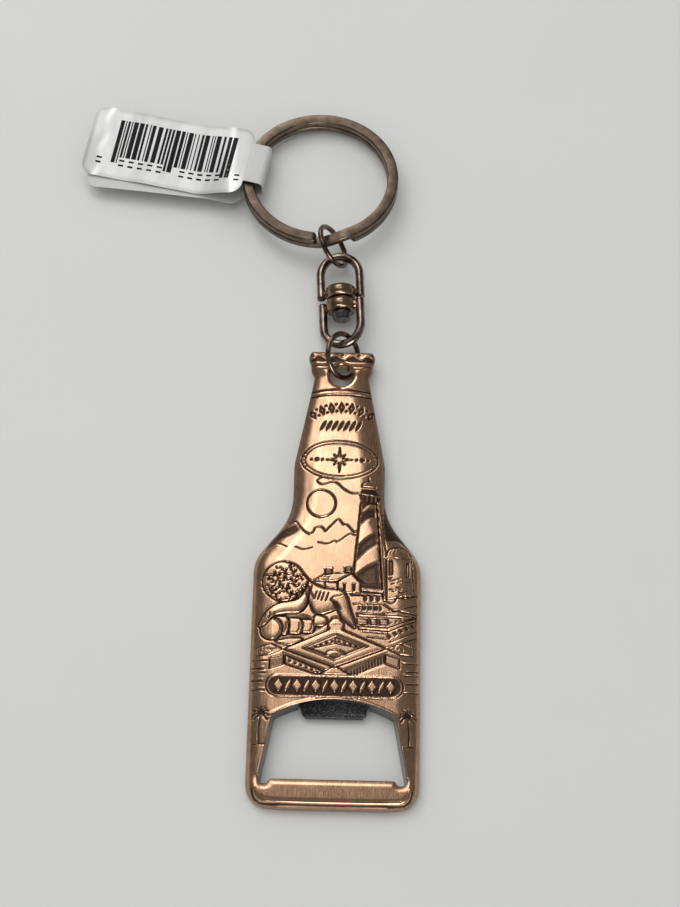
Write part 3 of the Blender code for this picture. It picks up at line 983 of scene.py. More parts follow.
def make_pin(finish):
    """The swivel's rivet: a shank through both collars and a cup-shaped head."""
    reach = COLLAR_GAP / 2 + COLLAR_LENGTH
    head = -reach - PIN_SEAT_GAP
    wide = PIN_HEAD_RADIUS
    rows = [(0.2, head - PIN_HEAD + 0.06), (wide - 0.9, head - PIN_HEAD + 0.02), (wide - 0.45, head - PIN_HEAD),
            (wide - 0.25, head - PIN_HEAD + 0.08), (wide - 0.16, head - PIN_HEAD + 0.3),
            (wide - 0.1, head - 0.7), (wide, head - 0.5), (wide, head - 0.12), (wide - 0.08, head),
            (PIN_RADIUS, head), (PIN_RADIUS, reach - 0.35), (PIN_RADIUS - 0.12, reach - 0.2)]
    side = SWIVEL_AXIS.orthogonal().normalized()
    other = SWIVEL_AXIS.cross(side)
    rings = [circle(SWIVEL_AT + SWIVEL_AXIS * along, side, other, radius, 48) for radius, along in rows]
    vertices, faces = skin(rings)
    return outward(new_piece("swivel_rivet", vertices, faces, finish))


# ---------------------------------------------------------------- split ring and tag

def ring_tilt():
    """The rotation from straight up to the split ring's own axis."""
    return Vector((0, 0, 1)).rotation_difference(RING_AXIS).to_matrix()


def strip_section():
    """The coil's section: slightly crowned faces with rolled corners, as (outward, up) points."""
    wide, tall = RING_BAND / 2, COIL_THICK / 2
    corners = rounded([(wide, -tall, 0.34), (wide, tall, 0.34), (-wide, tall, 0.34), (-wide, -tall, 0.34)], steps=5)
    return [Vector((x, y)) for x, y in corners]


def make_split_ring(finish):
    """One flat strip wound twice: the upper coil steps down into the lower one."""
    tilt = ring_tilt()
    middle = RING_OUTER - RING_BAND / 2
    first_turn = 360 - COIL_JOG
    total = 2 * first_turn + COIL_JOG - 1.5
    steps = 420
    section = strip_section()
    rings, run = [], []
    for i in range(steps + 1):
        travel = total * i / steps
        share = min(1.0, max(0.0, (travel - first_turn) / COIL_JOG))
        height = (COIL_THICK + COIL_GAP) / 2 * cos(pi * share)
        turn = radians(COIL_START - travel)
        out = Vector((cos(turn), sin(turn), 0))
        from_end = min(travel, total - travel) * radians(middle)
        taper = min(1.0, 0.55 + 0.45 * sqrt(min(1.0, from_end / 0.5)))
        lift = Vector((0, 0, height))
        rings.append([RING_AT + tilt @ (out * (middle + p.x * taper) + lift + Vector((0, 0, p.y * taper)))
                      for p in section])
        run += [(middle * radians(travel), p.x, p.y) for p in section]
    vertices, faces = skin(rings)
    ring = outward(new_piece("coiled_ring", vertices, faces, finish))
    layer = ring.data.attributes.new("run", "FLOAT_VECTOR", "POINT")
    layer.data.foreach_set("vector", np.array(run, np.float32).ravel())
    return ring


def tag_place(u, v, w):
    """A point of the tag in its own (u, v, w), in the part's frame."""
    band = Vector((RING_OUTER - RING_BAND / 2, 0, 0))
    share = min(1.0, max(0.0, (u - TAG_NEAR) / (SLEEVE_CLOSED - TAG_NEAR)))
    rolled = Matrix.Rotation(TAG_ROLL * share, 3, "X") @ Vector((u, v, w))
    turned_tag = Matrix.Rotation(TAG_TURN, 3, "Z") @ Matrix.Rotation(TAG_DROOP, 3, "Y") @ rolled
    return RING_AT + ring_tilt() @ (Matrix.Rotation(TAG_ANGLE, 3, "Z") @ (band + turned_tag))


def panel_half(u):
    """Half the width of a panel at u, with its corners rounded."""
    from_end = min(u - TAG_NEAR, TAG_FAR - u)
    if from_end >= TAG_CORNER:
        return TAG_HALF
    return TAG_HALF - TAG_CORNER + sqrt(max(0.0, TAG_CORNER ** 2 - (TAG_CORNER - from_end) ** 2))


def panel_stations():
    """Places along a panel, close together at its rounded corners."""
    corner = [TAG_CORNER * (1 - cos(pi / 2 * i / 8)) for i in range(9)]
    middle = np.linspace(TAG_NEAR + TAG_CORNER, TAG_FAR - TAG_CORNER, 46)[1:-1]
    return [TAG_NEAR + c for c in corner] + list(middle) + [TAG_FAR - c for c in reversed(corner)]


def film_height(u, v):
    """The front film's height over the tag's middle plane: open at the sleeve, gently wavy beyond."""
    lift = 1.95 * (1 - smooth((u - TAG_NEAR) / (SLEEVE_CLOSED - TAG_NEAR + 2)))
    wave = 0.16 * sin(0.33 * u + 0.12 * v + 0.6) + 0.07 * sin(0.8 * u - 0.3 * v)
    curl = 0.5 * max(0.0, (u - 26) / 8) ** 2
    return 0.35 + lift + wave * smooth((u - TAG_NEAR) / 6) + curl


def back_height(u, v):
    drop = 1.75 * (1 - smooth((u - TAG_NEAR) / (SLEEVE_CLOSED - TAG_NEAR)))
    return -0.15 - drop - 0.1 * sin(0.2 * u + 0.1 * v)


def sheet(stations, half_width, height, thick, swing=0.0, columns=14):
    """A thin sheet's closed skin; swing turns it in its own plane about its near end."""
    rings = []
    for u in stations:
        half = half_width(u)
        spread = [half * (2 * i / columns - 1) for i in range(columns + 1)]
        ring = []
        for side, row in ((1, spread), (-1, spread[::-1])):
            for v in row:
                turned_v = v + swing * (u - TAG_NEAR)
                ring.append(tag_place(u, turned_v, height(u, v) + side * thick / 2))
        rings.append(ring)
    return skin(rings)


def make_tag_front(finish):
    """The front film; its greyer rim and its painted highlights, pale streaks of glare near its ends, are kept as
    attributes.
    """
    stations = np.linspace(TAG_NEAR + TAG_CORNER, TAG_FAR - TAG_CORNER, 70)[1:-1]
    corner = [TAG_CORNER * (1 - cos(pi / 2 * i / 10)) for i in range(11)]
    stations = [TAG_NEAR + c for c in corner] + list(stations) + [TAG_FAR - c for c in reversed(corner)]
    columns = 40
    vertices, faces = sheet(stations, panel_half, film_height, 0.12, columns=columns)
    film = outward(new_piece("tag_front", vertices, faces, finish, 50))
    u = np.repeat(stations, 2 * columns + 2)
    half = np.array([panel_half(at) for at in u])
    spread = np.linspace(-1, 1, columns + 1)
    v = half * np.tile(np.concatenate([spread, spread[::-1]]), len(stations))
    rim = smooth((1.0 - np.minimum(TAG_FAR - u, half - np.abs(v))) / 0.7)
    # Painted highlight: pale streaks of glare across the film, one near each end, kept in the crease attribute.
    far = np.exp(-((u - TAG_FAR + 3.1 - 0.4 * np.sin(0.9 * v)) / 0.6) ** 2) * (0.6 + 0.4 * np.sin(0.8 * v + 1))
    near = np.exp(-((u - 3.6 + 0.2 * v) / 0.7) ** 2) * smooth((np.abs(v) - 2) / 2.5)
    for name, values in (("rim", rim), ("crease", np.clip(far + near, 0, 1))):
        layer = film.data.attributes.new(name, "FLOAT", "POINT")
        layer.data.foreach_set("value", values.astype(np.float32))
    return film


def make_tag_back(finish):
    stations = [TAG_NEAR + (u - TAG_NEAR) * BACK_SHARE for u in panel_stations()]

    def half(u):
        return panel_half(TAG_NEAR + (u - TAG_NEAR) / BACK_SHARE) - 0.1

    vertices, faces = sheet(stations, half, back_height, 0.14, swing=0.08)
    return outward(new_piece("tag_back", vertices, faces, finish, 50))


def make_tag_sleeve(finish):
    """The narrow part that joins the two panels, folded round the ring."""
    thick = 0.16
    top = film_height(TAG_NEAR, 0) - 0.02
    bottom = back_height(TAG_NEAR, 0) + 0.02
    path = rounded([(TAG_NEAR + 2.6, film_height(TAG_NEAR + 2.6, 0) - 0.16, 0), (TAG_NEAR - 0.6, top, 1.5),
                    (SLEEVE_FOLD + 0.1, top - 0.25, 1.1), (SLEEVE_FOLD + 0.1, bottom + 0.2, 1.1),
                    (TAG_NEAR - 0.6, bottom, 1.5), (TAG_NEAR + 2.6, back_height(TAG_NEAR + 2.6, 0) + 0.17, 0)],
                   steps=9)
    before = np.vstack([path[:1], path[:-1]])
    after = np.vstack([path[1:], path[-1:]])
    along = after - before
    along /= np.linalg.norm(along, axis=1)[:, None]
    normal = np.stack([-along[:, 1], along[:, 0]], axis=1) * thick / 2
    rings = []
    columns = 8
    for spot, out in zip(path, normal):
        ring = []
        for side in (1, -1):
            for i in range(columns + 1):
                v = SLEEVE_HALF * side * (1 - 2 * i / columns)
                u, w = spot + out * side
                ring.append(tag_place(u, v, w))
        rings.append(ring)
    vertices, faces = skin(rings)
    return outward(new_piece("tag_sleeve", vertices, faces, finish, 50))


def printed_bars():
    """Generic bars and, under them, neutral dashes, as (u low, u high, v low, v high) patches."""
    draw = np.random.default_rng(7)
    module = 0.264
    start, end = 3.6, 28.7
    low = BARS_TOP + BARS_LONG
    patches = []
    u = start
    while u < end - module:
        wide = min(draw.choice([1, 1, 2, 3, 4]) * module * 0.92, end - u)
        middle = abs(u - (start + end) / 2) < 1.2
        outer = min(u - start, end - u) < 1.4
        patches.append((u, u + wide, BARS_TOP, low + (1.4 if middle or outer else 0)))
        u += wide + draw.choice([1, 1, 1, 2]) * module
    for group in (np.linspace(6.0, 13.6, 5), np.linspace(18.4, 26.4, 5), (1.9, 31.2)):
        for centre in group:
            for row in (0.5, 1.6):
                patches.append((centre - 0.55, centre + 0.55, low + row, low + row + 0.42))
    return patches


BARS_TOP = -5.6
BARS_LONG = 8.6


def make_tag_bars(finish):
    """The print on the front film, a hair above it."""
    vertices, faces = [], []
    lift = 0.075
    rows = 8
    for u0, u1, v0, v1 in printed_bars():
        rings = []
        for i in range(rows + 1):
            v = v0 + (v1 - v0) * i / rows
            ring = []
            for u, side in ((u0, 1), (u1, 1), (u1, 0), (u0, 0)):
                ring.append(tag_place(u, v, film_height(u, v) + lift * (1 if side else 0.6)))
            rings.append(ring)
        some, joined = skin(rings)
        faces += [tuple(i + len(vertices) for i in face) for face in joined]
        vertices += some
    return outward(new_piece("tag_bars", vertices, faces, finish, 50))


# ---------------------------------------------------------------- the engraved picture

def curve(points, steps=6, closed=False):
    """A smooth line through a few points."""
    given = np.array(points, float)
    if closed:
        padded = np.vstack([given[-1], given, given[:2]])
    else:
        padded = np.vstack([2 * given[0] - given[1], given, 2 * given[-1] - given[-2]])
    share = np.linspace(0, 1, steps, endpoint=False)[:, None]
    pieces = []
    for a, b, c, d in zip(padded, padded[1:], padded[2:], padded[3:]):
        bend = 2 * a - 5 * b + 4 * c - d + (3 * b - a - 3 * c + d) * share
        pieces.append(b + ((c - a) * share + bend * share ** 2) / 2)
    if not closed:
        pieces.append(given[-1:])
    return np.vstack(pieces)


def lozenge(x, y, half_x, half_y, turn=0.0):
    corners = np.array([(half_x, 0), (0, half_y), (-half_x, 0), (0, -half_y)])
    return turned_round(corners, turn) + (x, y)


def rectangle(x, y, half_x, half_y, turn=0.0):
    corners = np.array([(half_x, half_y), (-half_x, half_y), (-half_x, -half_y), (half_x, -half_y)])
    return turned_round(corners, turn) + (x, y)


def turned_round(points, turn):
    return points @ np.array([(cos(turn), sin(turn)), (-sin(turn), cos(turn))])


def along(line, count, start=0.0, end=1.0):
    """Evenly spaced points on a line, each with the line's direction there."""
    steps = np.hypot(*np.diff(line, axis=0).T)
    travel = np.concatenate([[0], np.cumsum(steps)])
    for share in np.linspace(start, end, count):
        at = share * travel[-1]
        k = min(np.searchsorted(travel, at, side="right") - 1, len(line) - 2)
        part = (at - travel[k]) / steps[k]
        yield line[k] + (line[k + 1] - line[k]) * part, atan2(*(line[k + 1] - line[k])[::-1])


def engrave_cap(canvas):
    """A crown cap: a scalloped skirt over a dark groove, and dimples above it."""
    hem = [(x, 54.55 + 0.4 * cos(2 * pi * (x - 1.9) / 3.3)) for x in np.arange(-6.5, 6.51, 0.1)]
    canvas.fill(hem + [(6.5, 53.8), (-6.5, 53.8)], -0.16, 0.2, dark=1.0)
    canvas.line(hem, 0.3, 0.1)
    canvas.ridge(np.array(hem) + (0, 0.28), 0.45, 0.1)
    canvas.ridge([(-6.3, 53.5), (6.3, 53.5)], 0.55, 0.12)
    canvas.line([(-6.2, 52.9), (6.2, 52.9)], 0.3, 0.08, dark=0.45)
    canvas.ridge([(-6.2, 52.5), (6.2, 52.5)], 0.5, 0.1)
    for x in (-6.0, -3.1, 0.1, 3.4, 5.9):
        canvas.fill(oval(x, 55.3, 0.36, 0.3, 14), -0.18, 0.16, dark=1.0)


def engrave_neck(canvas):
    for y in (47.4, 46.25):
        canvas.line(curve([(-5.9, y), (0, y + 0.45), (5.9, y + 0.1)]), 0.5, 0.2)
    canvas.ridge(curve([(-5.6, 46.85), (0, 47.25), (5.6, 46.95)]), 0.5, 0.08)
    arc = oval(0.2, 32.85, 11.1, 11.1, 40, radians(120.5), radians(60))
    for i, (spot, turn) in enumerate(along(arc, 13)):
        if i % 2 == 0:
            canvas.fill(lozenge(*spot, 0.72, 1.4, turn), -0.2, 0.16, dark=1.0)
            canvas.fill(lozenge(*spot, 0.26, 0.6, turn), 0.12, 0.12)
        else:
            for way in (-0.72, 0.72):
                dot = spot + turned_round(np.array([(0, way)]), turn)[0]
                canvas.fill(oval(*dot, 0.34, 0.34, 12), -0.2, 0.14, dark=1.0)
    for i in range(-3, 4):
        leaf = turned_round(oval(0, 0, 0.4, 1.25, 16), radians(-26)) + (0.1 + i * 1.15, 40.05)
        canvas.fill(leaf, -0.2, 0.15, dark=1.0)


def engrave_oval(canvas):
    """An oval badge with a compass star between dots."""
    x, y = 0, 32.9
    canvas.fill(oval(x, y, 7.4, 3.9), -0.05, 0.3)
    canvas.line(oval(x, y, 7.45, 3.95), 0.36, 0.2, closed=True)
    canvas.line(oval(x, y, 6.75, 3.35), 0.26, 0.14, dark=0.85, closed=True)
    star = []
    for i in range(16):
        reach = 2.5 if i % 4 == 0 else (1.5 if i % 2 == 0 else 0.6)
        star.append((x + reach * sin(pi * i / 8), y + reach * cos(pi * i / 8)))
    canvas.line(star, 0.34, 0.2, closed=True)
    canvas.fill(star, 0.1, 0.12)
    for side in (-1, 1):
        for reach, size in ((3.3, 0.36), (4.4, 0.55), (5.5, 0.36)):
            canvas.fill(oval(x + side * reach, y, size, size, 14), -0.18, 0.14, dark=1.0)
        for turn in (-22, -11, 0, 11, 22):
            a = radians(turn)
            canvas.line([(side * 6.8 * cos(a), y + 3.4 * sin(a)), (side * 7.4 * cos(a), y + 3.9 * sin(a))], 0.24, 0.15)


def engrave_sky(canvas):
    canvas.fill(curve([(-9.9, 19.6), (-8.1, 20.2), (-6.8, 18.6), (-8.3, 17.2), (-10.6, 16.2), (-13.4, 14.4),
                       (-13.9, 15.6), (-11.6, 18.6)], closed=True), -0.1, 0.9, dark=0.92)
    canvas.fill(curve([(8.2, 23.4), (9.6, 23.5), (10.6, 21.0), (13.2, 17.6), (14.3, 14.6), (12.9, 15.3),
                       (11.2, 16.5), (8.7, 16.8)], closed=True), -0.1, 0.7, dark=0.95)
    canvas.line(curve([(-3.0, 29.3), (-4.2, 28.5), (-3.1, 27.8), (-0.8, 28.3), (0.9, 27.0), (2.3, 26.2), (3.8, 26.1)]),
                0.36, 0.18)
    canvas.drawn(oval(-3.3, 23.9, 2.8, 2.75), 0.07, 0.34, 0.2, edge=0.4)
    canvas.line(curve([(-9.4, 20.0), (-8.1, 20.3), (-6.9, 18.8), (-5.5, 17.8), (-4.7, 18.2), (-4.3, 19.0), (-3.1, 19.2),
                       (-2.4, 18.4), (-1.9, 18.9), (-0.9, 20.0), (0.1, 20.8), (0.9, 19.9), (1.8, 19.7), (3.0, 18.4),
                       (3.6, 18.5)]), 0.36, 0.18)
    canvas.line(curve([(-3.7, 16.2), (-1.9, 15.9), (-0.6, 16.5), (0.1, 16.4), (2.2, 17.9), (3.4, 17.7)]), 0.3, 0.14,
                dark=0.8)
    canvas.line(curve([(-8.0, 15.2), (-6.4, 14.7), (-4.8, 15.1)]), 0.28, 0.1, dark=0.6)
    canvas.line(curve([(-13.7, 14.3), (-11.8, 16.0), (-11.2, 15.9), (-9.7, 15.2)]), 0.34, 0.16)


def tower_sides(y):
    """The lighthouse's left and right edges at a height."""
    return np.interp(y, [6, 24.2], [2.75, 4.25]), np.interp(y, [6, 24.2], [8.6, 7.2])


def engrave_lighthouse(canvas):
    left = [(tower_sides(y)[0], y) for y in (6, 24.2)]
    right = [(tower_sides(y)[1], y) for y in (24.2, 6)]
    canvas.drawn(left + right, 0.1, 0.32, 0.2, bulge=0.1, reach=1.6)
    for low_left, high_left, low_right, high_right in (
            (22.3, 24.0, 24.1, 24.6), (19.6, 21.9, 21.3, 23.0), (12.6, 15.6, 15.9, 18.3), (6.2, 9.8, 7.3, 12.6)):
        upper, lower = [], []
        for share in np.linspace(0, 1, 9):
            bow = 0.45 * sin(pi * share)
            for row, start, end in ((upper, high_left, high_right), (lower, low_left, low_right)):
                y = start + (end - start) * share + bow
                x_left, x_right = tower_sides(y)
                row.append((x_left + (x_right - x_left) * (0.06 + 0.88 * share), y))
        band = upper + lower[::-1]
        canvas.fill(band, -0.06, 0.25, dark=0.86)
        canvas.line(upper, 0.3, 0.12)
        canvas.line(lower, 0.26, 0.1)
    canvas.line([(7.3, 24.3), (8.75, 5.4)], 0.32, 0.16)
    canvas.ridge([(7.55, 24.4), (9.0, 5.4)], 0.42, 0.16)
    canvas.line([(7.85, 24.1), (9.25, 14.0)], 0.3, 0.14, dark=0.85)
    gallery = [(3.8, 26.0), (4.3, 24.2), (7.3, 24.1), (8.2, 25.4), (7.2, 27.0), (6.9, 27.6), (4.5, 27.6), (4.4, 26.9)]
    canvas.fill(gallery, -0.08, 0.25, dark=0.95)
    canvas.drawn(oval(5.7, 27.4, 1.35, 1.25, 24, 0, pi), 0.1, 0.28, 0.16, dark=0.45)
    canvas.line([(5.7, 28.7), (5.7, 29.5)], 0.3, 0.14)
    canvas.ridge([(3.7, 26.1), (8.2, 25.7)], 0.3, 0.1, dark=0.3)
    canvas.ridge([(4.4, 27.2), (7.0, 27.2)], 0.26, 0.08, dark=0.3)
    for x in (4.6, 5.4, 6.3, 7.1):
        canvas.ridge([(x, 24.6), (x, 25.6)], 0.24, 0.05, dark=0.35)
    canvas.line(curve([(8.2, 22.2), (9.4, 22.0), (9.6, 21.4), (8.7, 20.9)]), 0.26, 0.12, dark=0.8)


def engrave_cottage(canvas):
    canvas.fill([(4.4, 8.4), (4.4, 6.2), (8.7, 6.0), (8.4, 8.6)], -0.1, 0.4, dark=0.85)
    canvas.drawn([(-4.6, 8.5), (-2.2, 10.0), (2.9, 10.4), (4.0, 8.9), (-2.0, 8.5)], 0.1, 0.3, 0.18)
    canvas.fill([(-4.4, 8.5), (-2.3, 9.8), (-1.0, 9.8), (-1.6, 8.6)], -0.05, 0.3, dark=0.6)
    canvas.ridge([(-3.3, 9.1), (-1.7, 9.2)], 0.4, 0.12)
    canvas.drawn([(-2.2, 8.5), (0.2, 8.3), (0.2, 6.4), (-2.2, 6.9)], 0.08, 0.28, 0.16)
    canvas.drawn([(0.1, 6.2), (0.1, 8.6), (2.8, 10.1), (4.5, 8.5), (4.5, 6.3)], 0.13, 0.3, 0.18)
    canvas.line([(-0.2, 8.5), (2.8, 10.25), (5.0, 8.3)], 0.38, 0.18)
    for x in (1.4, 3.2):
        canvas.fill(rectangle(x, 7.5, 0.33, 0.8), -0.16, 0.16, dark=1.0)
        canvas.ridge([(x, 6.8), (x, 8.2)], 0.2, -0.04, dark=0.4)
    for x, y in ((-1.6, 10.6), (2.1, 11.0)):
        canvas.drawn(rectangle(x, y, 0.62, 0.6), 0.05, 0.34, 0.18, dark=0.75)
        canvas.ridge([(x - 0.7, y + 0.6), (x + 0.7, y + 0.6)], 0.3, 0.12)
    canvas.ridge([(4.8, 7.2), (8.6, 6.9)], 0.5, 0.1)
    canvas.line([(4.7, 6.8), (8.7, 6.5)], 0.26, 0.14)
    for x in (5.4, 6.6, 7.8):
        canvas.fill(oval(x, 5.4, 0.42, 0.75, 14), -0.12, 0.16, dark=0.95)
    canvas.line([(2.9, 5.9), (8.8, 5.9)], 0.26, 0.14)


def engrave_domed_tower(canvas):
    canvas.drawn([(9.35, 5.2), (9.2, 13.4), (14.0, 13.5), (14.5, 6.2)], 0.08, 0.32, 0.18)
    canvas.drawn(oval(11.5, 13.5, 2.35, 2.2, 30, 0, pi), 0.08, 0.3, 0.18, dark=0.15)
    for reach in (0.8, 1.6):
        canvas.line(oval(11.5, 13.6, reach, 2.0, 16, radians(20), radians(160)), 0.24, 0.1, dark=0.7)
    canvas.ridge([(9.0, 13.45), (14.1, 13.6)], 0.34, 0.14)
    for x, y in ((10.1, 11.4), (13.3, 11.1)):
        niche = [(x - 0.45, y - 1.5), (x + 0.45, y - 1.5)] + oval(x, y + 1.2, 0.45, 0.55, 12, 0, pi).tolist()
        canvas.fill(niche, -0.14, 0.18, dark=0.95)
        canvas.ridge([(x + 0.05, y - 1.2), (x + 0.05, y + 1.0)], 0.3, -0.02, dark=0.25)
    draw = np.random.default_rng(5)
    for x, y in draw.uniform((9.9, 5.8), (13.9, 9.4), (26, 2)):
        canvas.line([(x - 0.2, y), (x + 0.2, y + 0.05)], 0.3, 0.12, dark=0.85)
    canvas.line(curve([(8.9, 5.0), (10.6, 4.6), (11.4, 5.7), (12.9, 5.5), (14.9, 6.3)]), 0.34, 0.18)


def engrave_walls(canvas):
    """Terraced walls and roofs below the tower."""
    canvas.line(curve([(3.3, 4.3), (6.0, 4.4), (8.9, 4.3)]), 0.4, 0.2)
    canvas.fill([(4.0, 4.1), (4.0, 3.0), (8.6, 2.9), (8.6, 4.1)], -0.1, 0.3, dark=0.8)
    for x in (4.6, 5.7, 6.8, 7.9):
        canvas.ridge([(x, 3.1), (x, 4.0)], 0.34, 0.05, dark=0.15)
    canvas.line(curve([(9.0, 4.2), (11.0, 3.2), (14.9, 4.4)]), 0.38, 0.18)
    canvas.line(curve([(8.8, 2.7), (11.6, 3.0), (14.9, 2.6)]), 0.4, 0.2)
    canvas.drawn([(3.9, 2.5), (9.9, 2.3), (14.9, 2.2), (14.8, 1.7), (9.9, 1.8), (4.0, 1.9)], 0.1, 0.36, 0.18)
    for x0, x1 in ((3.9, 5.9), (6.4, 7.6), (8.1, 9.7)):
        canvas.drawn([(x0, 1.5), (x1, 1.45), (x1, 0.4), (x0, 0.5)], 0.02, 0.36, 0.2, dark=0.35)
    canvas.drawn([(4.1, 0.1), (9.8, -0.1), (14.9, 2.0), (14.9, 1.4), (9.9, -0.8), (4.3, -0.5)], 0.12, 0.38, 0.2)
    for spot, turn in along(np.array([(10.2, 0.75), (14.3, 2.0)]), 5):
        canvas.fill(rectangle(*spot, 0.25, 0.18, turn), -0.14, 0.14, dark=1.0)
    canvas.line([(5.2, -1.0), (9.6, -1.3)], 0.38, 0.18)
    canvas.line([(6.0, -2.0), (9.9, -2.3)], 0.38, 0.18)
    for spot, turn in along(np.array([(9.9, -1.8), (14.2, 0.4)]), 5):
        canvas.fill(rectangle(*spot, 0.34, 0.5, turn + 0.3), -0.14, 0.2, dark=0.95)
    canvas.line(curve([(10.2, -2.8), (12.4, -1.9), (14.9, -0.6)]), 0.36, 0.18)
    canvas.line(curve([(12.2, -3.2), (13.4, -2.6), (14.9, -1.9)]), 0.34, 0.16)


def engrave_lion(canvas):
    body = curve([(-6.4, 9.4), (-4.6, 8.3), (-2.2, 7.3), (0.9, 6.9), (2.0, 5.6), (2.7, 3.2), (3.4, 1.2), (3.7, -0.4),
                  (2.3, 0.4), (1.0, 1.5), (0.2, 3.0), (-1.0, 2.6), (-2.6, 2.1), (-4.2, 2.6), (-5.0, 4.2), (-6.2, 5.2)],
                 closed=True)
    canvas.drawn(body, 0.05, 0.42, 0.24, bulge=0.16, reach=1.8, edge=0.35)
    foreleg = curve([(-5.4, 7.4), (-7.4, 5.0), (-10.4, 4.3), (-12.7, 3.0), (-14.1, 1.0), (-14.4, -0.5), (-13.2, 0.0),
                     (-11.6, 1.5), (-9.4, 2.1), (-7.0, 2.3), (-5.7, 3.6), (-5.2, 5.6)], closed=True)
    canvas.drawn(foreleg, 0.06, 0.42, 0.24, bulge=0.16, reach=1.3, edge=0.35)
    for x in (-13.5, -12.6, -11.7):
        canvas.line(curve([(x, 1.2), (x + 0.25, 1.8), (x + 0.15, 2.3)]), 0.28, 0.15)
    canvas.line(curve([(-5.5, 8.2), (-5.9, 6.6), (-5.3, 5.2), (-5.5, 3.8), (-6.4, 2.7)]), 0.34, 0.2)
    canvas.line(curve([(-4.6, 7.6), (-4.8, 6.4), (-4.3, 5.4)]), 0.3, 0.16)
    for x in (-3.7, -3.0, -2.3, -1.5):
        canvas.line([(x, 6.1 - 0.1 * x), (x - 0.45, 4.6 - 0.12 * x)], 0.3, 0.16, dark=0.9)
    canvas.line(curve([(0.9, 5.9), (-0.4, 5.6), (-1.0, 4.9), (0.0, 4.4), (0.5, 3.6)]), 0.34, 0.18)
    canvas.fill(curve([(-0.9, 5.0), (0.2, 4.4), (0.9, 3.0), (-0.2, 3.2)], closed=True), -0.12, 0.3, dark=0.9)
    mane = curve([(-10.4, 12.2), (-12.7, 11.2), (-13.9, 9.2), (-13.7, 6.9), (-12.2, 5.2), (-10.2, 4.4), (-8.2, 4.8),
                  (-6.6, 6.4), (-5.3, 8.4), (-6.2, 9.9), (-7.8, 11.6)], closed=True)
    canvas.drawn(mane, 0.1, 0.36, 0.22, bulge=0.08, reach=1.2, edge=0.3)
    muzzle = curve([(-14.0, 7.3), (-13.1, 7.6), (-12.5, 7.1), (-11.6, 7.6)])
    draw = np.random.default_rng(17)
    for i in range(1, 35):
        reach = 3.55 * sqrt(i / 34)
        turn = i * 2.39996
        x, y = -9.8 + reach * 1.06 * cos(turn), 8.25 + reach * sin(turn)
        first, size, bend = draw.uniform((0, 0.4, 2.4), (2 * pi, 0.6, 4.0))
        canvas.line(oval(x, y, size, size * 0.85, 9, first, first + bend), 0.36, 0.26)
        if i % 2 == 0:
            canvas.fill(oval(x + 0.36, y - 0.4, 0.3, 0.42, 10), -0.24, 0.14, dark=1.0)
    canvas.fill(oval(-13.0, 7.7, 1.0, 1.1), 0.16, 0.5)
    canvas.line(muzzle, 0.36, 0.24)
    canvas.line(muzzle - (-0.3, 0.8), 0.3, 0.18, dark=0.8)
    canvas.fill(oval(-12.5, 8.7, 0.36, 0.26, 12), -0.2, 0.14, dark=1.0)


def engrave_ball_and_scroll(canvas):
    canvas.fill(curve([(-14.3, -0.4), (-11, 2.0), (-6, 2.2), (-3.6, 0.8), (-2.2, -0.4), (-5.6, -2.4), (-10, -3.4),
                       (-13.6, -2.9)], closed=True), -0.12, 0.5, dark=0.6)
    for x, half in ((-4.6, 1.35), (-6.9, 1.6), (-9.4, 1.85)):
        ring = oval(x, -0.2, 0.75, half, 20, -pi / 2, pi / 2)
        block = np.vstack([ring, [(x - 1.9, half - 0.2), (x - 1.9, -half - 0.2)]])
        canvas.drawn(block, 0.06, 0.3, 0.2, bulge=0.08, reach=0.7, edge=0.3)
        canvas.line(oval(x - 0.5, -0.2, 0.6, half * 0.8, 12, -1.2, 0.4), 0.26, 0.12, dark=0.6)
    canvas.drawn(oval(-12.0, -0.8, 2.1, 2.15), 0.08, 0.4, 0.24, bulge=0.1, reach=1.2)
    canvas.line(oval(-12.0, -0.8, 1.75, 1.8, 16, -1.2, 1.3), 0.26, 0.12, dark=0.6)
    canvas.drawn(curve([(-3.9, 1.9), (-2.0, 1.7), (-1.6, 0.6), (-2.6, -0.2), (-4.2, 0.1)], closed=True), 0.1, 0.3, 0.18,
                 bulge=0.1)
    canvas.drawn(curve([(-11.2, -3.2), (-8.6, -2.5), (-6.0, -2.6), (-8.4, -3.9)], closed=True), 0.04, 0.3, 0.18)
    canvas.stipple([(-0.9, 2.2), (1.6, 1.6), (1.2, 0.0), (-1.4, 0.2)], 26, 0.22, 0.1, 3, dark=0.7)


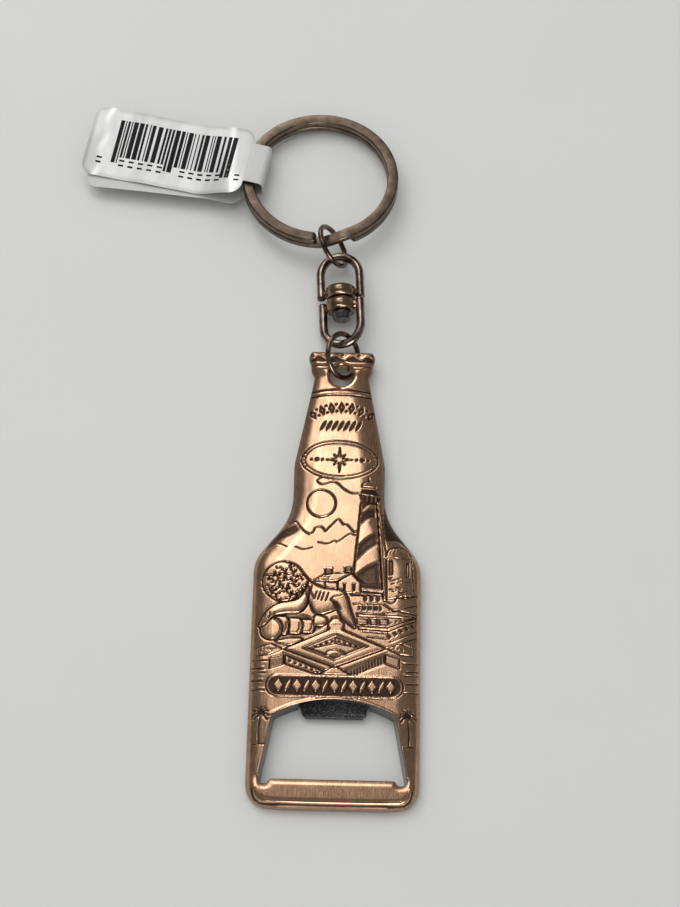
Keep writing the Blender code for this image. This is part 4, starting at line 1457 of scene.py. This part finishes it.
def engrave_fort(canvas):
    """A star fort seen from above: a thick square frame with a bastion at each corner."""
    top, bottom, left, right = (0.0, -0.2), (0.0, -7.9), (-9.7, -4.6), (9.5, -4.1)
    canvas.fill([(-9.9, -5.0), (-0.4, -8.6), (0, -9.2), (0.4, -8.6), (9.7, -4.6), (9.4, -7.2), (4.0, -9.4), (-4.0, -9.4),
                 (-9.6, -7.6)], -0.12, 0.4, dark=0.6)
    for x0, y0, x1, y1 in ((-9.3, -5.7, -2.0, -8.7),):
        canvas.drawn([(x0, y0), (x1, y1), (x1 - 1.4, y1 - 0.5), (x0, y0 - 1.7)], 0.04, 0.28, 0.18)
        for spot, turn in along(np.array([(x0 + 0.9, y0 - 1.15), (x1 - 1.2, y1 - 0.1)]), 6):
            canvas.fill(rectangle(*spot, 0.28, 0.3, turn), -0.14, 0.14, dark=1.0)
    for share in np.linspace(0, 1, 12):
        x, y = 3.0 + 6.0 * share, -8.5 + 3.0 * share
        canvas.line([(x, y), (x + 0.1, y - 1.2)], 0.26, 0.12, dark=0.9)
    for side, corner in ((-1, left), (1, right)):
        x, y = corner
        canvas.drawn([(x, y), (x + side * 2.3, y + 1.0), (x + side * 5.0, y + 0.2), (x + side * 5.0, y - 1.3),
                      (x + side * 2.6, y - 1.2)], 0.1, 0.3, 0.18)
        canvas.drawn([(x - side * 0.2, y - 1.2), (x + side * 2.4, y - 1.8), (x + side * 2.4, y - 3.8),
                      (x - side * 0.2, y - 2.9)], 0.02, 0.3, 0.18, dark=0.35 + 0.35 * (side < 0))
        canvas.stipple([(x + side * 1.0, y + 0.5), (x + side * 4.0, y + 0.3), (x + side * 4.0, y - 0.7),
                        (x + side * 1.2, y - 0.6)], 12, 0.2, 0.1, 11, dark=0.9)
    bastion = [(-1.5, -0.6), (-1.5, 0.5), (-0.5, 1.5), (0.6, 1.5), (1.6, 0.5), (1.5, -0.6)]
    canvas.drawn(bastion, 0.12, 0.32, 0.18, bulge=0.06)
    canvas.drawn([(-3.0, -9.3), (0.0, -7.5), (3.0, -9.3)], 0.1, 0.28, 0.16)
    canvas.drawn([top, right, bottom, left], 0.14, 0.36, 0.22, bulge=0.08, reach=0.8)
    canvas.fill([(-1.3, -1.3), (-1.3, 0.4), (1.3, 0.4), (1.3, -1.3)], 0.17, 0.3)
    court = [(0, -1.6), (6.1, -3.9), (0, -6.6), (-6.0, -4.4)]
    canvas.drawn(court, -0.12, 0.34, 0.16, edge=0.4, dark=0.15)
    canvas.line([(0, -2.2), (4.9, -3.9), (0, -6.0), (-4.9, -4.3)], 0.26, 0.12, closed=True)
    canvas.line([(0, -2.2), (0, -3.3)], 0.26, 0.14)
    canvas.line([(-4.2, -4.4), (0, -3.3), (4.2, -4.1)], 0.28, 0.14)
    for start, end in (((-3.7, -3.95), (-0.6, -2.95)), ((0.7, -3.0), (3.8, -3.85))):
        for spot, turn in along(np.array([start, end]), 4):
            canvas.fill(rectangle(*spot, 0.3, 0.3, turn), -0.26, 0.16, dark=1.0)
    canvas.line(oval(0, -5.5, 1.9, 0.95, 16, 0, pi), 0.3, 0.16)
    canvas.ridge(oval(0, -5.6, 1.2, 0.5, 12, 0, pi), 0.5, -0.02)


def engrave_ground(canvas):
    for side in (-1, 1):
        for y, reach, wide in ((-6.9, 12.6, 0.3), (-8.4, 13.3, 0.4), (-9.2, 12.9, 0.24), (-10.7, 13.4, 0.42),
                               (-12.4, 12.8, 0.3)):
            strip = np.array([(side * 15.3, y + 0.15), (side * reach, y)])
            canvas.line(strip, wide, 0.16, dark=0.85)
            canvas.ridge(strip + (0, 0.36), 0.3, 0.1)


def engrave_nameplate(canvas):
    """A capsule with a raised rim; generic ornaments stand on its dark field."""
    middle, half_x, half_y = -11.4, 12.5, 1.95
    ends = [oval(side * (half_x - half_y), middle, half_y, half_y, 16, start, start + pi)
            for side, start in ((1, -pi / 2), (-1, pi / 2))]
    capsule = np.vstack(ends)
    canvas.line(capsule * (1.012, 1.0) + (0, 0), 0.34, 0.2, closed=True)
    canvas.fill(capsule, -0.2, 0.3, dark=0.98)
    canvas.ridge(capsule * (0.984, 1) + (0, 0), 0.42, 0.16, closed=True)
    canvas.stipple(capsule * (0.95, 1), 420, 0.17, 0.07, 21)
    for i in range(-6, 7):
        x = i * 1.72
        if i % 2 == 0:
            canvas.fill(lozenge(x, middle, 1.0, 1.45), 0.2, 0.16, bulge=0.06)
        else:
            leaf = turned_round(oval(0, 0, 0.46, 1.3, 16), radians(-24)) + (x, middle)
            canvas.fill(leaf, 0.16, 0.16, bulge=0.06)


def engrave_palm(canvas, x, y, lean):
    trunk = curve([(x, y), (x + lean * 0.3, y - 3), (x + lean * 0.25, y - 5.5)])
    canvas.line(trunk, 0.42, 0.16)
    canvas.line([(x - 1.4, y - 5.7), (x + 1.2, y - 5.6)], 0.3, 0.14)
    canvas.fill(oval(x, y - 0.1, 1.0, 0.95, 20), -0.1, 0.5, dark=0.75)
    for i in range(9):
        turn = radians(-35 + 250 * i / 8)
        tip = (x + 1.45 * cos(turn), y + 1.45 * sin(turn) - 0.25)
        bend = (x + 0.85 * cos(turn), y + 0.95 * sin(turn) + 0.1)
        canvas.line(curve([(x, y), bend, tip], steps=4), 0.46, 0.2)


def engrave_bar(canvas):
    """The rolled rim round the window, the crease above the foot, and painted shade on the foot's flat."""
    low, high = (-15, BOTTOM_Y + 2), (15, ARCH_TOP_Y + 3)
    area = canvas.patch((low, high), 0)
    gap, spot = signed(canvas.spots(area), window_outline())
    gap = -gap.reshape(canvas.x[area].shape)
    y = spot[:, 1].reshape(gap.shape)
    arch = 0.3 + 0.7 * smooth((y - WINDOW_HEAD_Y + 1) / 1.5)
    share = np.sqrt(np.clip(1 - ((gap - 0.24) / 0.3) ** 2, 0, 1))
    canvas.height[area] += np.where(y > NOTCH_Y + 1.5, 0.14 * share * arch, 0)
    rolled = (y < NOTCH_Y + 1.5) & (gap > 0) & (gap < 1.2)
    canvas.height[area] -= np.where(rolled, 0.16 * (1.2 - gap) ** 2, 0)
    crease = curve([(-14.5, -30.4), (-14.2, -31.7), (-13.4, -32.6), (-11.5, -33.0), (0, -33.1), (11.5, -33.0),
                    (13.4, -32.6), (14.2, -31.7), (14.5, -30.4)])
    # Painted shade: the foot's flat below the notches is darkened a little, as if it lay in shade.
    foot = (canvas.y[area] < NOTCH_Y) & (gap > 0)
    canvas.dark[area] = np.where(foot, np.maximum(canvas.dark[area], 0.2), canvas.dark[area])
    canvas.line(crease, 0.45, 0.16, dark=0.95)
    canvas.ridge(crease * (0.97, 1) + (0, 0.42), 0.4, 0.08)


def engrave(canvas):
    """Everything cut into or raised on the bottle's front."""
    engrave_cap(canvas)
    engrave_neck(canvas)
    engrave_sky(canvas)
    engrave_oval(canvas)
    engrave_lighthouse(canvas)
    engrave_domed_tower(canvas)
    engrave_cottage(canvas)
    engrave_walls(canvas)
    engrave_ball_and_scroll(canvas)
    engrave_lion(canvas)
    engrave_fort(canvas)
    engrave_ground(canvas)
    engrave_nameplate(canvas)
    engrave_palm(canvas, -13.4, -16.7, -1)
    engrave_palm(canvas, 13.5, -16.7, 1)
    engrave_bar(canvas)
    canvas.height = np.clip(canvas.height, -0.34, 0.23)


# ---------------------------------------------------------------- stage

def make_floor(finish):
    """A wide plane that touches the bottle's foot and the links' lowest points."""
    half = 9000
    slope = -0.0219
    corners = [(x, y, slope * (y - BOTTOM_Y)) for x, y in ((-half, -half), (half, -half), (half, half), (-half, half))]
    floor = new_piece("floor", corners, [(0, 1, 2, 3)], finish, 0)


def make_camera():
    data = bpy.data.cameras.new("camera")
    data.sensor_fit = "AUTO"
    data.sensor_width = 36
    data.lens = 36 * VIEW_FOCAL
    data.clip_start = 0.01
    data.clip_end = 20
    made = bpy.data.objects.new("camera", data)
    bpy.context.scene.collection.objects.link(made)
    back = Vector((0, -sin(VIEW_TILT), cos(VIEW_TILT)))
    up = Vector((0, cos(VIEW_TILT), sin(VIEW_TILT)))
    right = Vector((1, 0, 0))
    rolled_up = up * cos(VIEW_ROLL) - right * sin(VIEW_ROLL)
    rolled_right = right * cos(VIEW_ROLL) + up * sin(VIEW_ROLL)
    turn = Matrix((rolled_right, rolled_up, back)).transposed().to_4x4()
    made.matrix_world = Matrix.Translation((VIEW_AT + back * VIEW_DISTANCE) * MM) @ turn
    bpy.context.scene.camera = made


def area_light(name, at, size, power, mirrored=True):
    """A square soft light that faces the object, either seen in its metal or falling on the floor; at is in metres."""
    data = bpy.data.lights.new(name, "AREA")
    data.shape = "SQUARE"
    data.size = size
    data.energy = power
    made = bpy.data.objects.new(name, data)
    bpy.context.scene.collection.objects.link(made)
    made.visible_glossy = mirrored
    made.visible_diffuse = not mirrored
    at = Vector(at)
    made.matrix_world = Matrix.Translation(at) @ (at - VIEW_AT * MM).to_track_quat("Z", "Y").to_matrix().to_4x4()


def make_world():
    """A room with a bright ceiling to the north of the object and dim walls."""
    world = bpy.data.worlds.new("room")
    bpy.context.scene.world = world
    world.use_nodes = True
    tree = world.node_tree
    background = tree.nodes["Background"]
    background.inputs["Color"].default_value = (1, 1, 1, 1)
    where = tree.nodes.new("ShaderNodeTexCoord")

    def lobe(direction, narrow, wide, low, high):
        facing = tree.nodes.new("ShaderNodeVectorMath")
        facing.operation = "DOT_PRODUCT"
        facing.inputs[1].default_value = Vector(direction).normalized()
        tree.links.new(where.outputs["Generated"], facing.inputs[0])
        ramp = tree.nodes.new("ShaderNodeMapRange")
        ramp.interpolation_type = "SMOOTHSTEP"
        values = (cos(radians(wide)), cos(radians(narrow)), low, high)
        for key, number in zip(("From Min", "From Max", "To Min", "To Max"), values):
            ramp.inputs[key].default_value = number
        tree.links.new(facing.outputs["Value"], ramp.inputs["Value"])
        return ramp.outputs["Result"]

    ray = tree.nodes.new("ShaderNodeLightPath")
    strength = lobe((0, 0, 1), 10, 80, 0.13, 0.15)
    for part, share in (
        (lobe((-0.09, 0.39, 0.92), 4, 12, 0.0, 3.3), 1.0),
        (lobe((-0.42, 0.5, 0.76), 3, 17, 0.0, 1.6), 1.0),
        (ray.outputs["Is Diffuse Ray"], FILL),
        (ray.outputs["Is Camera Ray"], 0.45),
    ):
        step = tree.nodes.new("ShaderNodeMath")
        step.operation = "MULTIPLY_ADD"
        tree.links.new(part, step.inputs[0])
        step.inputs[1].default_value = share
        tree.links.new(strength, step.inputs[2])
        strength = step.outputs[0]
    tree.links.new(strength, background.inputs["Strength"])


# ---------------------------------------------------------------- assembly

def place_piece(piece, body, slot, *nodes):
    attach(piece, body)
    if nodes:
        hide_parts(*nodes)


def build():
    canvas = Canvas((-BODY_HALF - 0.5, BOTTOM_Y - 0.5), (BODY_HALF + 0.5, TOP_Y + 0.5), PITCH)
    engrave(canvas)
    copper = copper_material()
    steel = steel_material("black_steel", (0.03, 0.03, 0.031), (0.17, 0.175, 0.18), 0.34)
    rivet = steel_material("rivet_steel", (0.11, 0.107, 0.105), (0.27, 0.26, 0.255), 0.18)
    wire = plated_material("dark_bronze", (0.10, 0.065, 0.052), (0.27, 0.20, 0.16), 0.2)
    bail = plated_material("pale_bronze", (0.13, 0.085, 0.068), (0.50, 0.39, 0.33), 0.14)
    brass = plated_material("brassy_bronze", (0.27, 0.175, 0.115), (0.40, 0.27, 0.18), 0.22)
    band = plated_material("ring_bronze", (0.11, 0.078, 0.057), (0.22, 0.165, 0.125), 0.3, "run")
    place_piece(make_bottle(canvas, copper), "bottle", "antique_copper", "bottle_body")
    place_piece(make_studs(copper), "bottle", "antique_copper")
    place_piece(make_insert(steel), "bottle", "black_steel", "opener_insert")
    lower = ring_wire("lower_ring", LOWER_JUMP_AT, LOWER_JUMP_UP, LOWER_JUMP_SIDE, JUMP_RADIUS, JUMP_WIRE, 2.0, wire)
    place_piece(lower, "lower_link", "dark_bronze", "lower_jump_ring")
    place_piece(make_bail("swivel_bail_low", LOWER_ROLL, -1, bail), "lower_swivel", "dark_bronze", "lower_bail")
    place_piece(make_collar("swivel_drum_low", LOWER_ROLL, -1, brass), "lower_swivel", "brassy_bronze",
                "lower_collar")
    place_piece(make_pin(rivet), "upper_swivel", "black_steel", "swivel_pin")
    place_piece(make_collar("swivel_drum_high", UPPER_ROLL, 1, brass), "upper_swivel", "brassy_bronze",
                "upper_collar")
    place_piece(make_bail("swivel_bail_high", UPPER_ROLL, 1, bail), "upper_swivel", "dark_bronze", "upper_bail")
    upper = ring_wire("upper_ring", UPPER_JUMP_AT, UPPER_JUMP_UP, UPPER_JUMP_SIDE, JUMP_RADIUS, JUMP_WIRE, 1.0, wire)
    place_piece(upper, "upper_link", "dark_bronze", "upper_jump_ring")
    place_piece(make_split_ring(band), "key_ring", "ring_bronze", "split_ring")
    film, paper = film_material(), paper_material()
    place_piece(make_tag_front(film), "tag", "tag_film", "price_tag")
    place_piece(make_tag_back(paper), "tag", "tag_film")
    place_piece(make_tag_sleeve(paper), "tag", "tag_film")
    place_piece(make_tag_bars(ink_material()), "tag", "tag_film")
    make_floor(table_material())
    make_camera()
    make_world()
    area_light("ceiling", (-0.3, 0.35, 1.1), 1.3, 7.2, mirrored=False)
    area_light("window_behind", (-0.25, 0.95, 0.5), 0.5, 3)
    area_light("window_ahead", (0.2, -0.9, 0.55), 0.5, 6)
    bpy.context.scene.view_settings.view_transform = "Standard"


build()
